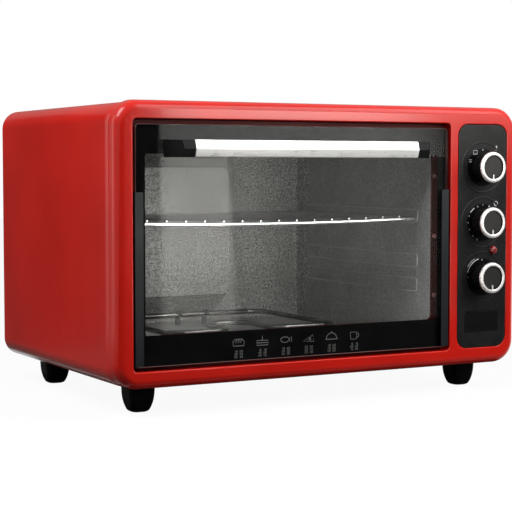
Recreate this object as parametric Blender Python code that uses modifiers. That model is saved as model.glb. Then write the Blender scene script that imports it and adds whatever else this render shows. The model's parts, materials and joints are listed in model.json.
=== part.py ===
"""Countertop electric oven with a drop-down glass door, a wire rack and three control knobs.

All lengths are in metres. The body frame starts at the bezel's lower left front corner: X runs
right, Y runs back and Z runs up. An empty there carries every sub-part, and the whole oven
stands on its feet with the middle of its outline over the world origin.
"""
import math

import bmesh
import bpy
from mathutils import Matrix, Vector

# Clearances and common stock
GAP = 0.0003
SWING_CLEARANCE = 0.0017
OVERRUN = 0.005
WELD = 0.00001
SHEET = 0.0012

# Bezel: the frame round the door and the panel
BEZEL_WIDTH = 0.530
BEZEL_HEIGHT = 0.310
BEZEL_DEPTH = 0.0205
BEZEL_CORNER = 0.028
BEZEL_EDGE = 0.011
BEZEL_WALL = 0.0020
LEFT_BORDER = 0.0203
RIGHT_BORDER = 0.0160
TOP_BORDER = 0.0193
BOTTOM_BORDER = 0.0197
DIVIDER = 0.0112
OPENING_CORNER = 0.005
FLANGE_SETBACK = 0.0150

# Mouth of the cavity, inside the door opening
MOUTH_SIDE_LAND = 0.0168
MOUTH_SILL = 0.0368
MOUTH_HEADER = 0.0347
MOUTH_CORNER = 0.006

# Control panel
PANEL_OPENING_WIDTH = 0.0717
PANEL_BORDER = 0.0209
PANEL_CORNER = 0.014
PANEL_THICKNESS = 0.003
PANEL_RIM_DEPTH = 0.006
PANEL_RIM_WALL = 0.002

# Outer case
BODY_DEPTH = 0.3655
CASE_SIDE_STEP = 0.0012
CASE_TOP_STEP = 0.0022
CASE_BOTTOM_STEP = 0.0010
CASE_CORNER = 0.022
CASE_BACK_EDGE = 0.008
CASE_SEAM = 0.0006
CASE_FOOT_FLANGE = 0.0685
REAR_FLANGE = 0.018
REAR_SCREW_INSET = 0.0135

# Cavity liner
CAVITY_SIDE_STEP = 0.0010
CAVITY_FLOOR_DROP = 0.0245
CAVITY_ROOF_RISE = 0.0260
CAVITY_BACK = 0.335
CAVITY_CORNER = 0.006
LINER_FLANGE_INSET = 0.004

# Pressed bulge in the cavity's back wall
BULGE_DEPTH = 0.020
BULGE_FACE_WIDTH = 0.1464
BULGE_FACE_LOW = 0.0373
BULGE_FACE_HIGH = 0.2063
BULGE_SIDE_SLOPE = 0.006
BULGE_LOW_SLOPE = 0.0310
BULGE_HIGH_SLOPE = 0.0230
BULGE_FACE_CORNER = 0.010
BULGE_FOOT_CORNER = 0.036

# Rack guides pressed into the cavity's side walls, heights above the cavity floor
GUIDE_LEVELS = (0.0570, 0.0865, 0.1405)
GUIDE_SPACING = 0.0135
GUIDE_LEDGE = 0.005
GUIDE_RIDGE = 0.0025
GUIDE_FRONT = 0.043
GUIDE_BACK = 0.306
GUIDE_BEAD = 0.0008
GUIDE_BEAD_WIDTH = 0.002
WALL_BEAD_Y = 0.035
WALL_BEAD_WIDTH = 0.004

# Wire rack
RACK_ROD = 0.0025
RACK_WIRE = 0.0015
RACK_SINK = 0.0006
RACK_WIRE_OVERHANG = 0.0011
RACK_SIDE_GAP = 0.0020
RACK_FRONT = 0.050
RACK_BACK = 0.308
RACK_CORNER = 0.006
RACK_PITCH = 0.024

# Tubular heaters, heights from the cavity floor and roof
HEATER_RADIUS = 0.0033
HEATER_STANDOFF = 0.015
HEATER_FRONT = 0.099
HEATER_REAR = 0.294
HEATER_NOTCH = 0.179
HEATER_LEFT_INSET = 0.072
HEATER_RIGHT_INSET = 0.0802
HEATER_NOTCH_WIDTH = 0.057
HEATER_NOTCH_OFFSET = 0.0071
HEATER_RETURN_STEP = 0.032
HEATER_BEND = 0.022
HEATER_HOLE = 0.0042
HEATER_TAIL = 0.006
POST_OFFSETS = (-0.0109, 0.0282)
POST_WIDTH = 0.005
POST_LENGTH = 0.011
POST_RIM = 0.0018
TERMINAL_RADIUS = 0.005
TERMINAL_LENGTH = 0.010
TERMINAL_STUD = 0.002
TERMINAL_STUD_LENGTH = 0.006

# Door
GLASS_THICKNESS = 0.0040
GLASS_SETBACK = 0.0015
GLASS_SIDE_GAP = 0.0032
GLASS_BOTTOM_GAP = 0.0045
GLASS_TOP_GAP = 0.0067
GLASS_CORNER = 0.007
CHANNEL_WALL = 0.0008
CHANNEL_WIDTH = 0.0098
CHANNEL_HEIGHT = 0.186
CHANNEL_DROP = 0.004
HINGE_PIN = 0.0012
HINGE_BORE = 0.0015
HINGE_EAR = 0.0027
HINGE_EAR_WIDTH = 0.008
HINGE_HEAD = 0.0025
HINGE_HEAD_LENGTH = 0.0010
HANDLE_REACH = 0.025
HANDLE_SIDE = 0.0325
HANDLE_BELOW_TOP = 0.0260
HANDLE_HALF_HEIGHT = 0.0094
HANDLE_FACET = 0.0024
HANDLE_THICKNESS = 0.008
HANDLE_LIP = 0.0012
BRACKET_LENGTH = 0.0144
BRACKET_FLARE = 0.0123
BRACKET_FOOT = 0.014
BRACKET_WEB = 0.006
DOOR_SCREW = 0.0020
DOOR_SCREW_HEAD = 0.0040
DOOR_SCREW_HEAD_LENGTH = 0.0018
DOOR_SCREW_GRIP = 0.007

# Knobs and what they turn
KNOB_PITCH = 0.0659
KNOB_MIDDLE_RISE = 0.0169
KNOB_HEIGHT = 0.0224
KNOB_FACE_RECESS = 0.0020
KNOB_STANDOFF = 0.0008
KNOB_BODY = 0.0170
KNOB_SKIRT = 0.0160
KNOB_NECK = 0.0137
RING_INNER = 0.0140
RING_OUTER = 0.0185
RING_DEPTH = 0.0080
RING_CHAMFER = 0.0012
POINTER_WIDTH = 0.0015
POINTER_START = 0.0085
POINTER_DEPTH = 0.0012
SHAFT_RADIUS = 0.003
SHAFT_IN_KNOB = 0.0135
SHAFT_BEHIND = 0.019
SHAFT_BORE_DEPTH = 0.0120
CONTROL_BRACKET_INSET = 0.0025
CONTROL_BRACKET_LOW = 0.060
CONTROL_BRACKET_HIGH = 0.030
SWITCH_SIDE = 0.032
SWITCH_DEPTH = 0.025
THERMOSTAT_RADIUS = 0.019
THERMOSTAT_DEPTH = 0.014
THERMOSTAT_CAP = 0.012
THERMOSTAT_CAP_DEPTH = 0.006
TIMER_SIDE = 0.044
TIMER_DEPTH = 0.028
TIMER_BELL = 0.019
TIMER_BELL_DEPTH = 0.010

# Indicator lamp and badge plate on the panel
LAMP_SIDE = 0.0163
LAMP_ABOVE_TIMER = 0.0321
LAMP_HOLE = 0.0048
LENS_RIM = 0.0053
LENS_DOME = 0.0040
LENS_SHANK = 0.0045
LENS_SHANK_LENGTH = 0.0100
LAMP_RADIUS = 0.0035
LAMP_LENGTH = 0.016
BADGE_WIDTH = 0.0495
BADGE_HEIGHT = 0.0246
BADGE_LOW = 0.0191
BADGE_POCKET = 0.0006
BADGE_PROUD = 0.0004
BADGE_CORNER = 0.0015

# Feet
FOOT_HEIGHT = 0.0305
FOOT_TOP = 0.0295
FOOT_BOTTOM = 0.0210
FOOT_CORNER = 0.006
FOOT_LEVELS = 4
FOOT_SIDE = 0.0480
FOOT_FRONT = 0.0520
FOOT_BACK = 0.0608
FOOT_NECK = 0.0050
FOOT_HEAD = 0.0070
FOOT_HEAD_LENGTH = 0.0020

# Inner plates, rear fittings and fasteners
PLATE_SIDE = 0.031
PLATE_LIP = 0.026
VENT_WIDTH = 0.003
VENT_LENGTH = 0.045
VENT_PITCH = 0.009
VENTS = 6
BOTTOM_VENTS = 8
BOTTOM_VENT_PITCH = 0.030
BOTTOM_VENT_WIDTH = 0.006
REAR_VENT_SIDE = 0.060
REAR_VENT_RISE = 0.090
SHIELD_SIDE = 0.0110
SHIELD_FRONT = 0.022
SHIELD_FOOT = 0.011
TERMINAL_BLOCK = (0.036, 0.018, 0.014)
TERMINAL_BLOCK_SIDE = 0.040
TERMINAL_BLOCK_BACK = 0.014
GLAND_SIDE = 0.060
GLAND_RISE = 0.053
GLAND_BORE = 0.0035
GLAND_NECK = 0.0060
GLAND_COLLAR = 0.0090
GLAND_COLLAR_LENGTH = 0.0042
SCREW_RADIUS = 0.0015
SCREW_HOLE = 0.0018
SCREW_HEAD = 0.0029
SCREW_HEAD_LENGTH = 0.0020
SCREW_LENGTH = 0.0070
FLANGE_SCREW_INSET = 0.0040
FLANGE_SCREW_PITCH = 0.0710
REAR_SCREW_SPAN = 0.190

# Facets
CORNER_STEPS = 5
EDGE_STEPS = 4
BEND_STEPS = 4
ROUND_STEPS = 24
SMALL_STEPS = 12
SMOOTH_ANGLE = math.radians(35)
FLAT_ANGLE = math.radians(0.5)
ROUND_SHARE = 0.5
QUARTER = math.radians(90)

# Places in the body frame that follow from the sizes above
OPENING_LEFT = LEFT_BORDER
OPENING_RIGHT = BEZEL_WIDTH - RIGHT_BORDER - PANEL_OPENING_WIDTH - DIVIDER
OPENING_LOW = BOTTOM_BORDER
OPENING_HIGH = BEZEL_HEIGHT - TOP_BORDER
PANEL_RIGHT = BEZEL_WIDTH - RIGHT_BORDER
PANEL_LEFT = PANEL_RIGHT - PANEL_OPENING_WIDTH
PANEL_LOW = PANEL_BORDER
PANEL_HIGH = BEZEL_HEIGHT - PANEL_BORDER
PANEL_X = (PANEL_LEFT + PANEL_RIGHT) / 2
DOOR_X = (OPENING_LEFT + OPENING_RIGHT) / 2
MOUTH_LEFT = OPENING_LEFT + MOUTH_SIDE_LAND
MOUTH_RIGHT = OPENING_RIGHT - MOUTH_SIDE_LAND
MOUTH_LOW = OPENING_LOW + MOUTH_SILL
MOUTH_HIGH = OPENING_HIGH - MOUTH_HEADER
FLANGE_BACK = FLANGE_SETBACK + BEZEL_WALL
CASE_LEFT = CASE_SIDE_STEP
CASE_RIGHT = BEZEL_WIDTH - CASE_SIDE_STEP
CASE_LOW = CASE_BOTTOM_STEP
CASE_HIGH = BEZEL_HEIGHT - CASE_TOP_STEP
CASE_FRONT = BEZEL_DEPTH + CASE_SEAM
CAVITY_LEFT = MOUTH_LEFT - CAVITY_SIDE_STEP
CAVITY_RIGHT = MOUTH_RIGHT + CAVITY_SIDE_STEP
CAVITY_FLOOR = MOUTH_LOW - CAVITY_FLOOR_DROP
CAVITY_ROOF = MOUTH_HIGH + CAVITY_ROOF_RISE
LINER_FRONT = FLANGE_BACK + GAP
COVER_BACK = BODY_DEPTH - SHEET - GAP
COVER_FRONT = COVER_BACK - SHEET
PLATE_LOW = CASE_LOW + SHEET + GAP
PLATE_HIGH = PLATE_LOW + SHEET
GLASS_LEFT = OPENING_LEFT + GLASS_SIDE_GAP
GLASS_RIGHT = OPENING_RIGHT - GLASS_SIDE_GAP
GLASS_LOW = OPENING_LOW + GLASS_BOTTOM_GAP
GLASS_HIGH = OPENING_HIGH - GLASS_TOP_GAP
GLASS_BACK = GLASS_SETBACK + GLASS_THICKNESS
CHANNEL_FRONT = GLASS_SETBACK - GAP - CHANNEL_WALL
CHANNEL_BACK = GLASS_BACK + GAP + CHANNEL_WALL
HINGE_Y = GLASS_BACK + GAP + HINGE_EAR
HINGE_Z = OPENING_LOW + HINGE_Y - CHANNEL_FRONT + SWING_CLEARANCE
HANDLE_Z = GLASS_HIGH - HANDLE_BELOW_TOP
HANDLE_BACK = HANDLE_THICKNESS - HANDLE_REACH
THERMOSTAT_Z = BEZEL_HEIGHT / 2 + KNOB_MIDDLE_RISE
FUNCTION_Z = THERMOSTAT_Z + KNOB_PITCH
TIMER_Z = THERMOSTAT_Z - KNOB_PITCH
CONTROL_FRONT = PANEL_RIM_DEPTH + GAP
CONTROL_BACK = CONTROL_FRONT + SHEET
GLAND_BACK = COVER_BACK + GAP + GLAND_COLLAR_LENGTH
FRAME_Y = (HANDLE_REACH - GLAND_BACK) / 2
HANDLE_LENGTH = (GLASS_RIGHT - GLASS_LEFT) - 2 * (HANDLE_SIDE + BRACKET_FLARE + BRACKET_LENGTH)
HEATER_LEFT = CAVITY_LEFT + HEATER_LEFT_INSET
HEATER_RIGHT = CAVITY_RIGHT - HEATER_RIGHT_INSET
HEATER_RETURN = HEATER_LEFT + HEATER_RETURN_STEP
HEATER_NOTCH_LEFT = DOOR_X - HEATER_NOTCH_OFFSET - HEATER_NOTCH_WIDTH / 2
HEATER_NOTCH_RIGHT = HEATER_NOTCH_LEFT + HEATER_NOTCH_WIDTH
RACK_Z = CAVITY_FLOOR + max(GUIDE_LEVELS) + GAP + RACK_ROD
RACK_LEFT = CAVITY_LEFT + RACK_SIDE_GAP + RACK_ROD
RACK_RIGHT = CAVITY_RIGHT - RACK_SIDE_GAP - RACK_ROD
RACK_WIRES = 1 + int((RACK_RIGHT - RACK_LEFT - 2 * RACK_CORNER) / RACK_PITCH)


def clear_scene():
    """Remove every object of the start-up scene."""
    for item in list(bpy.data.objects):
        bpy.data.objects.remove(item, do_unlink=True)


def make_collection(name):
    """Return a new collection, linked to the scene."""
    collection = bpy.data.collections.new(name)
    bpy.context.scene.collection.children.link(collection)
    return collection


def make_material(name, colour, roughness, metallic, alpha=1):
    """Return a Principled material."""
    material = bpy.data.materials.new(name)
    material.use_nodes = True
    shader = material.node_tree.nodes["Principled BSDF"]
    shader.inputs["Base Color"].default_value = (*colour, 1)
    shader.inputs["Roughness"].default_value = roughness
    shader.inputs["Metallic"].default_value = metallic
    shader.inputs["Alpha"].default_value = alpha
    material.diffuse_color = (*colour, alpha)
    return material


def make_empty(name, location, parent=None):
    """Return an empty at a place in its parent's frame."""
    empty = bpy.data.objects.new(name, None)
    bpy.context.scene.collection.objects.link(empty)
    empty.parent = parent
    empty.location = location
    return empty


def finish_mesh(name, form):
    """Turn a bmesh into a mesh with outward faces, smooth on its round stretches."""
    bmesh.ops.recalc_face_normals(form, faces=form.faces)
    mesh = bpy.data.meshes.new(name)
    form.to_mesh(mesh)
    form.free()
    mesh.shade_smooth()
    mesh.set_sharp_from_angle(angle=SMOOTH_ANGLE)
    return mesh


def evaluated_mesh(holder):
    """Return a welded mesh of an object as it shows, and remove the object."""
    bpy.context.scene.collection.objects.link(holder)
    bpy.context.view_layer.update()
    shown = holder.evaluated_get(bpy.context.evaluated_depsgraph_get())
    rough = bpy.data.meshes.new_from_object(shown)
    name = holder.name
    bpy.data.objects.remove(holder, do_unlink=True)
    form = bmesh.new()
    form.from_mesh(rough)
    bmesh.ops.remove_doubles(form, verts=form.verts, dist=WELD)
    bmesh.ops.dissolve_limit(form, angle_limit=FLAT_ANGLE, verts=form.verts, edges=form.edges)
    bpy.data.meshes.remove(rough)
    return finish_mesh(name, form)


def add_box(form, low, high):
    """Add a box between two corners to a bmesh."""
    low, high = Vector(low), Vector(high)
    place = Matrix.Translation((low + high) / 2) @ Matrix.Diagonal((*(high - low), 1))
    bmesh.ops.create_cube(form, size=1, matrix=place)


def boxes(name, corners):
    """Return a mesh of boxes, given as pairs of corners."""
    form = bmesh.new()
    for low, high in corners:
        add_box(form, low, high)
    return finish_mesh(name, form)


def arc(centre, radius, start, turn, steps):
    """Return points along an arc in a plane."""
    angles = [start + turn * step / steps for step in range(steps + 1)]
    return [(centre[0] + radius * math.cos(a), centre[1] + radius * math.sin(a)) for a in angles]


def rounded_rectangle(left, low, right, high, radius, top_radius=None):
    """Return the outline of a rectangle with round corners, starting at the lower left."""
    top_radius = radius if top_radius is None else top_radius
    corners = (
        ((left + radius, low + radius), radius, 2 * QUARTER),
        ((right - radius, low + radius), radius, 3 * QUARTER),
        ((right - top_radius, high - top_radius), top_radius, 0),
        ((left + top_radius, high - top_radius), top_radius, QUARTER),
    )
    outline = []
    for centre, corner, start in corners:
        outline += arc(centre, corner, start, QUARTER, CORNER_STEPS)
    return outline


def prism(name, outline, start, end, axis="Y"):
    """Return a flat outline drawn out between two places along Y, X or Z."""
    curve = bpy.data.curves.new(name, "CURVE")
    curve.dimensions = "2D"
    curve.fill_mode = "BOTH"
    curve.extrude = abs(end - start) / 2
    spline = curve.splines.new("POLY")
    spline.points.add(len(outline) - 1)
    for point, place in zip(spline.points, outline):
        point.co = (*place, 0, 1)
    spline.use_cyclic_u = True
    mesh = evaluated_mesh(bpy.data.objects.new(name, curve))
    middle = (start + end) / 2
    turns = {
        "Y": Matrix.Translation((0, middle, 0)) @ Matrix.Rotation(QUARTER, 4, "X"),
        "X": Matrix.Translation((middle, 0, 0)) @ Matrix.Rotation(QUARTER, 4, "Z")
        @ Matrix.Rotation(QUARTER, 4, "X"),
        "Z": Matrix.Translation((0, 0, middle)),
    }
    mesh.transform(turns[axis])
    return mesh


def round_end(mesh, end, radius):
    """Round the outline edges of a prism that lie at one place along Y."""
    form = bmesh.new()
    form.from_mesh(mesh)
    edges = [edge for edge in form.edges if all(abs(v.co.y - end) < WELD for v in edge.verts)]
    bmesh.ops.bevel(
        form, geom=edges, offset=radius, segments=EDGE_STEPS, profile=ROUND_SHARE, affect="EDGES"
    )
    rounded = finish_mesh(mesh.name, form)
    bpy.data.meshes.remove(mesh)
    return rounded


def loft(name, sections):
    """Return a closed skin through sections that have as many points as each other."""
    form = bmesh.new()
    rings = [[form.verts.new(point) for point in section] for section in sections]
    for first, second in zip(rings, rings[1:]):
        for here in range(len(first)):
            there = (here + 1) % len(first)
            form.faces.new((first[here], first[there], second[there], second[here]))
    form.faces.new(rings[0])
    form.faces.new(rings[-1])
    return finish_mesh(name, form)


def turned(name, profile, steps=ROUND_STEPS):
    """Return a profile of radii and heights, top first, turned about Z."""
    line = bpy.data.meshes.new(name)
    edges = [(here, here + 1) for here in range(len(profile) - 1)]
    line.from_pydata([(radius, 0, height) for radius, height in profile], edges, [])
    holder = bpy.data.objects.new(name, line)
    screw = holder.modifiers.new("turn", "SCREW")
    screw.steps = steps
    screw.render_steps = steps
    screw.use_merge_vertices = True
    screw.merge_threshold = WELD
    return evaluated_mesh(holder)


def cylinder(name, radius, start, end, centre, axis, steps=SMALL_STEPS):
    """Return a cylinder between two places along an axis through a point of the other two."""
    form = bmesh.new()
    bmesh.ops.create_cone(
        form, cap_ends=True, segments=steps, radius1=radius, radius2=radius, depth=abs(end - start)
    )
    middle = (start + end) / 2
    places = {
        "Y": Matrix.Translation((centre[0], middle, centre[1])) @ Matrix.Rotation(QUARTER, 4, "X"),
        "X": Matrix.Translation((middle, centre[0], centre[1])) @ Matrix.Rotation(QUARTER, 4, "Y"),
        "Z": Matrix.Translation((centre[0], centre[1], middle)),
    }
    bmesh.ops.transform(form, matrix=places[axis], verts=form.verts)
    return finish_mesh(name, form)


def gathered(name, meshes):
    """Return one mesh of several separate forms, which are used up."""
    form = bmesh.new()
    for mesh in meshes:
        form.from_mesh(mesh)
        bpy.data.meshes.remove(mesh)
    return finish_mesh(name, form)


def screw_holes(name, places, radius=SCREW_HOLE):
    """Return the holes of screws that run along Y, as one tool."""
    reach = SHEET + OVERRUN
    return gathered(
        name, [cylinder(word, radius, y - reach, y + reach, (x, z), "Y") for word, (x, y, z) in places]
    )


def foot_holes(name, height):
    """Return the holes of the feet's necks through a plate near a height, as one tool."""
    start, end = height - OVERRUN, height + OVERRUN
    return gathered(
        name,
        [cylinder(word, FOOT_NECK + GAP, start, end, centre, "Z") for word, centre in foot_places()],
    )


def rounded_path(corners, radius, closed=False):
    """Return a path through corners with each bend laid out as an arc."""
    count = len(corners)
    path = [] if closed else [Vector(corners[0])]
    inner = range(count) if closed else range(1, count - 1)
    for here in inner:
        corner = Vector(corners[here])
        before = (corner - Vector(corners[here - 1])).normalized()
        after = (Vector(corners[(here + 1) % count]) - corner).normalized()
        angle = before.angle(after)
        reach = radius * math.tan(angle / 2)
        start = corner - before * reach
        side = (after - before * before.dot(after)).normalized()
        centre = start + side * radius
        for step in range(BEND_STEPS + 1):
            turn = angle * step / BEND_STEPS
            path.append(centre + (start - centre) * math.cos(turn) + before * radius * math.sin(turn))
    return path if closed else path + [Vector(corners[-1])]


def tube(name, path, radius, closed=False):
    """Return a round wire along a path."""
    curve = bpy.data.curves.new(name, "CURVE")
    curve.dimensions = "3D"
    curve.fill_mode = "FULL"
    curve.bevel_depth = radius
    curve.bevel_resolution = 2
    curve.use_fill_caps = True
    spline = curve.splines.new("POLY")
    spline.points.add(len(path) - 1)
    for point, place in zip(spline.points, path):
        point.co = (*place, 1)
    spline.use_cyclic_u = closed
    return evaluated_mesh(bpy.data.objects.new(name, curve))


class Workshop:
    """Holds the collections and empties, and sets pieces and tools in their places."""

    def __init__(self):
        """Make the collections and the empty that stands for the body frame."""
        self.parts = make_collection("electric_oven")
        self.tools = make_collection("cutters")
        self.body = make_empty("body_frame", (-BEZEL_WIDTH / 2, FRAME_Y, FOOT_HEIGHT))
        self.tool_count = 0

    def piece(self, name, mesh, material, axis=None, location=(0, 0, 0), rotation=(0, 0, 0)):
        """Set a named sub-part in the body frame, carried by its axis empty if it has one."""
        item = bpy.data.objects.new(name, mesh)
        self.parts.objects.link(item)
        if not mesh.materials:
            mesh.materials.append(material)
        item.parent = axis or self.body
        item.location = Vector(location) - (axis.location if axis else Vector())
        item.rotation_euler = rotation
        return item

    def shape(self, target, mesh, operation, place=(0, 0, 0)):
        """Cut or join a tool that stands in the same frame as its target, and return the tool."""
        self.tool_count += 1
        tool = bpy.data.objects.new(f"tool_{self.tool_count}_{mesh.name}", mesh)
        self.tools.objects.link(tool)
        tool.parent = target.parent
        offset = Vector() if target.parent == self.body else target.parent.location
        tool.location = Vector(place) - offset
        tool.hide_render = True
        tool.display_type = "WIRE"
        boolean = target.modifiers.new(mesh.name, "BOOLEAN")
        boolean.operation = operation
        boolean.solver = "EXACT"
        boolean.object = tool
        return tool

    def cut(self, target, mesh, place=(0, 0, 0)):
        """Take a tool's shape out of a piece, and return the tool."""
        return self.shape(target, mesh, "DIFFERENCE", place)

    def join(self, target, mesh, place=(0, 0, 0)):
        """Fuse a tool's shape to a piece, and return the tool."""
        return self.shape(target, mesh, "UNION", place)


def screw_mesh(name, shank, head, head_length, length):
    """Return a screw along Z with its head above the seat and its shank below."""
    profile = [
        (0, head_length), (head, head_length / 2), (head, 0),
        (shank, 0), (shank, -length), (0, -length),
    ]
    return turned(name, profile, SMALL_STEPS)


def opening_prism(name, grow, start, end):
    """Return the door opening's outline, grown all round and drawn out along Y."""
    outline = rounded_rectangle(
        OPENING_LEFT - grow, OPENING_LOW - grow, OPENING_RIGHT + grow, OPENING_HIGH + grow,
        OPENING_CORNER + grow,
    )
    return prism(name, outline, start, end)


def panel_prism(name, grow, start, end):
    """Return the panel opening's outline, grown all round and drawn out along Y."""
    outline = rounded_rectangle(
        PANEL_LEFT - grow, PANEL_LOW - grow, PANEL_RIGHT + grow, PANEL_HIGH + grow,
        PANEL_CORNER + grow,
    )
    return prism(name, outline, start, end)


def mouth_prism(name, start, end):
    """Return the cavity mouth's outline drawn out along Y."""
    outline = rounded_rectangle(MOUTH_LEFT, MOUTH_LOW, MOUTH_RIGHT, MOUTH_HIGH, MOUTH_CORNER)
    return prism(name, outline, start, end)


def case_prism(name, inset, start, end):
    """Return the case's outline, drawn in all round and drawn out along Y."""
    outline = rounded_rectangle(
        CASE_LEFT + inset, CASE_LOW + inset, CASE_RIGHT - inset, CASE_HIGH - inset,
        CASE_CORNER - inset,
    )
    return prism(name, outline, start, end)


def flange_screw_places():
    """Return name and place of the screws that hold the bezel's flange to the liner."""
    middle = (MOUTH_LOW + MOUTH_HIGH) / 2
    sides = (("left", MOUTH_LEFT - FLANGE_SCREW_INSET), ("right", MOUTH_RIGHT + FLANGE_SCREW_INSET))
    rows = (("low", -FLANGE_SCREW_PITCH), ("middle", 0), ("high", FLANGE_SCREW_PITCH))
    return [
        (f"{side}_{row}", (x, FLANGE_SETBACK, middle + rise)) for side, x in sides for row, rise in rows
    ]


def rear_screw_places():
    """Return name and place of the screws that hold the rear cover to the case."""
    middle = (CASE_LOW + CASE_HIGH) / 2
    sides = (("left", CASE_LEFT + REAR_SCREW_INSET), ("right", CASE_RIGHT - REAR_SCREW_INSET))
    rows = (("low", -REAR_SCREW_SPAN / 2), ("high", REAR_SCREW_SPAN / 2))
    return [
        (f"{side}_{row}", (x, BODY_DEPTH, middle + rise)) for side, x in sides for row, rise in rows
    ]


def foot_places():
    """Return name and centre of each foot."""
    sides = (("left", FOOT_SIDE), ("right", BEZEL_WIDTH - FOOT_SIDE))
    rows = (("front", FOOT_FRONT), ("back", BODY_DEPTH - FOOT_BACK))
    return [(f"{row}_{side}", (x, y)) for side, x in sides for row, y in rows]


def knob_places():
    """Return name and height of each knob's axis."""
    return (("function", FUNCTION_Z), ("thermostat", THERMOSTAT_Z), ("timer", TIMER_Z))


def make_bezel(shop, paint):
    """Frame round the door and the panel, hollow at the back, with an inner flange."""
    outline = rounded_rectangle(0, 0, BEZEL_WIDTH, BEZEL_HEIGHT, BEZEL_CORNER)
    block = round_end(prism("bezel_block", outline, 0, BEZEL_DEPTH), 0, BEZEL_EDGE)
    bezel = shop.piece("front_bezel", block, paint)
    hollow_edge = BEZEL_EDGE - BEZEL_WALL
    hollow_outline = rounded_rectangle(
        BEZEL_WALL, BEZEL_WALL, BEZEL_WIDTH - BEZEL_WALL, BEZEL_HEIGHT - BEZEL_WALL,
        BEZEL_CORNER - BEZEL_WALL,
    )
    hollow = prism("bezel_hollow", hollow_outline, BEZEL_WALL, BEZEL_DEPTH + OVERRUN)
    hollow = shop.cut(bezel, round_end(hollow, BEZEL_WALL, hollow_edge))
    shop.cut(hollow, opening_prism("door_return", BEZEL_WALL, -OVERRUN, FLANGE_BACK))
    shop.cut(hollow, panel_prism("panel_return", BEZEL_WALL, -OVERRUN, PANEL_RIM_DEPTH))
    shop.cut(bezel, opening_prism("door_opening", 0, -OVERRUN, FLANGE_SETBACK))
    shop.cut(bezel, panel_prism("panel_opening", 0, -OVERRUN, PANEL_RIM_DEPTH + OVERRUN))
    shop.cut(bezel, mouth_prism("mouth", FLANGE_SETBACK - OVERRUN, FLANGE_BACK + OVERRUN))
    shop.cut(bezel, screw_holes("bezel_holes", flange_screw_places()))
    for wall, side in ((OPENING_LEFT, -1), (OPENING_RIGHT, 1)):
        start = wall - side * GAP
        end = wall + side * (BEZEL_WALL + GAP)
        shop.cut(bezel, cylinder("pin_hole", HINGE_BORE, start, end, (HINGE_Y, HINGE_Z), "X"))
    return bezel


def make_case(shop, paint):
    """Painted wrap with round corners, open below between two foot flanges and at the back."""
    block = case_prism("case_block", 0, CASE_FRONT, BODY_DEPTH)
    case = shop.piece("outer_case", round_end(block, BODY_DEPTH, CASE_BACK_EDGE), paint)
    inner = case_prism("case_inner", SHEET, CASE_FRONT - OVERRUN, BODY_DEPTH - SHEET)
    slot_low = (CASE_LEFT + CASE_FOOT_FLANGE, CASE_FRONT - OVERRUN, CASE_LOW - OVERRUN)
    slot_high = (CASE_RIGHT - CASE_FOOT_FLANGE, COVER_FRONT - CASE_BACK_EDGE, CASE_LOW + OVERRUN)
    cuts = [
        round_end(inner, BODY_DEPTH - SHEET, CASE_BACK_EDGE - SHEET),
        case_prism("case_back", REAR_FLANGE, COVER_BACK, BODY_DEPTH + OVERRUN),
        boxes("case_bottom", [(slot_low, slot_high)]),
    ]
    cuts += [foot_holes("case_feet", CASE_LOW), screw_holes("case_holes", rear_screw_places())]
    for tool in cuts:
        shop.cut(case, tool)
    return case


def make_bottom_plate(shop, steel):
    """Ventilated plate on the case's foot flanges, turned up at the front behind the sill."""
    low = (PLATE_SIDE, CASE_FRONT, PLATE_LOW)
    high = (BEZEL_WIDTH - PLATE_SIDE, COVER_FRONT - CASE_BACK_EDGE, PLATE_HIGH)
    plate = shop.piece("bottom_plate", boxes("plate", [(low, high)]), steel)
    lip_low = (GLASS_LEFT + PLATE_SIDE, low[1], PLATE_LOW)
    lip_high = (GLASS_RIGHT - PLATE_SIDE, low[1] + SHEET, PLATE_LOW + PLATE_LIP)
    shop.join(plate, boxes("plate_lip", [(lip_low, lip_high)]))
    slots = []
    first = DOOR_X - BOTTOM_VENT_PITCH * (BOTTOM_VENTS - 1) / 2
    for vent in range(BOTTOM_VENTS):
        x = first + vent * BOTTOM_VENT_PITCH
        slot_low = (x - BOTTOM_VENT_WIDTH / 2, HEATER_NOTCH, PLATE_LOW - OVERRUN)
        slot_high = (x + BOTTOM_VENT_WIDTH / 2, HEATER_NOTCH + VENT_LENGTH, PLATE_HIGH + OVERRUN)
        slots.append((slot_low, slot_high))
    shop.cut(plate, boxes("plate_vents", slots))
    shop.cut(plate, foot_holes("plate_feet", PLATE_LOW))
    return plate


def make_rear_cover(shop, steel):
    """Plate that closes the back from inside, with vents beside the cord inlet."""
    inset = CASE_BACK_EDGE + GAP
    cover = shop.piece("rear_cover", case_prism("cover", inset, COVER_FRONT, COVER_BACK), steel)
    slots = []
    right = CASE_RIGHT - REAR_VENT_SIDE
    middle = CASE_LOW + (CASE_HIGH - CASE_LOW) / 2
    for vent in range(VENTS):
        x = right + (vent - (VENTS - 1) / 2) * VENT_PITCH
        low = (x - VENT_WIDTH / 2, COVER_FRONT - OVERRUN, middle)
        high = (x + VENT_WIDTH / 2, COVER_BACK + OVERRUN, middle + VENT_LENGTH)
        slots.append((low, high))
    shop.cut(cover, boxes("cover_vents", slots))
    shop.cut(cover, screw_holes("cover_holes", rear_screw_places()))
    gland = (CASE_RIGHT - GLAND_SIDE, CASE_LOW + GLAND_RISE)
    start, end = COVER_FRONT - OVERRUN, COVER_BACK + OVERRUN
    shop.cut(cover, cylinder("gland_hole", GLAND_NECK + GAP, start, end, gland, "Y"))
    return cover


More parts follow.
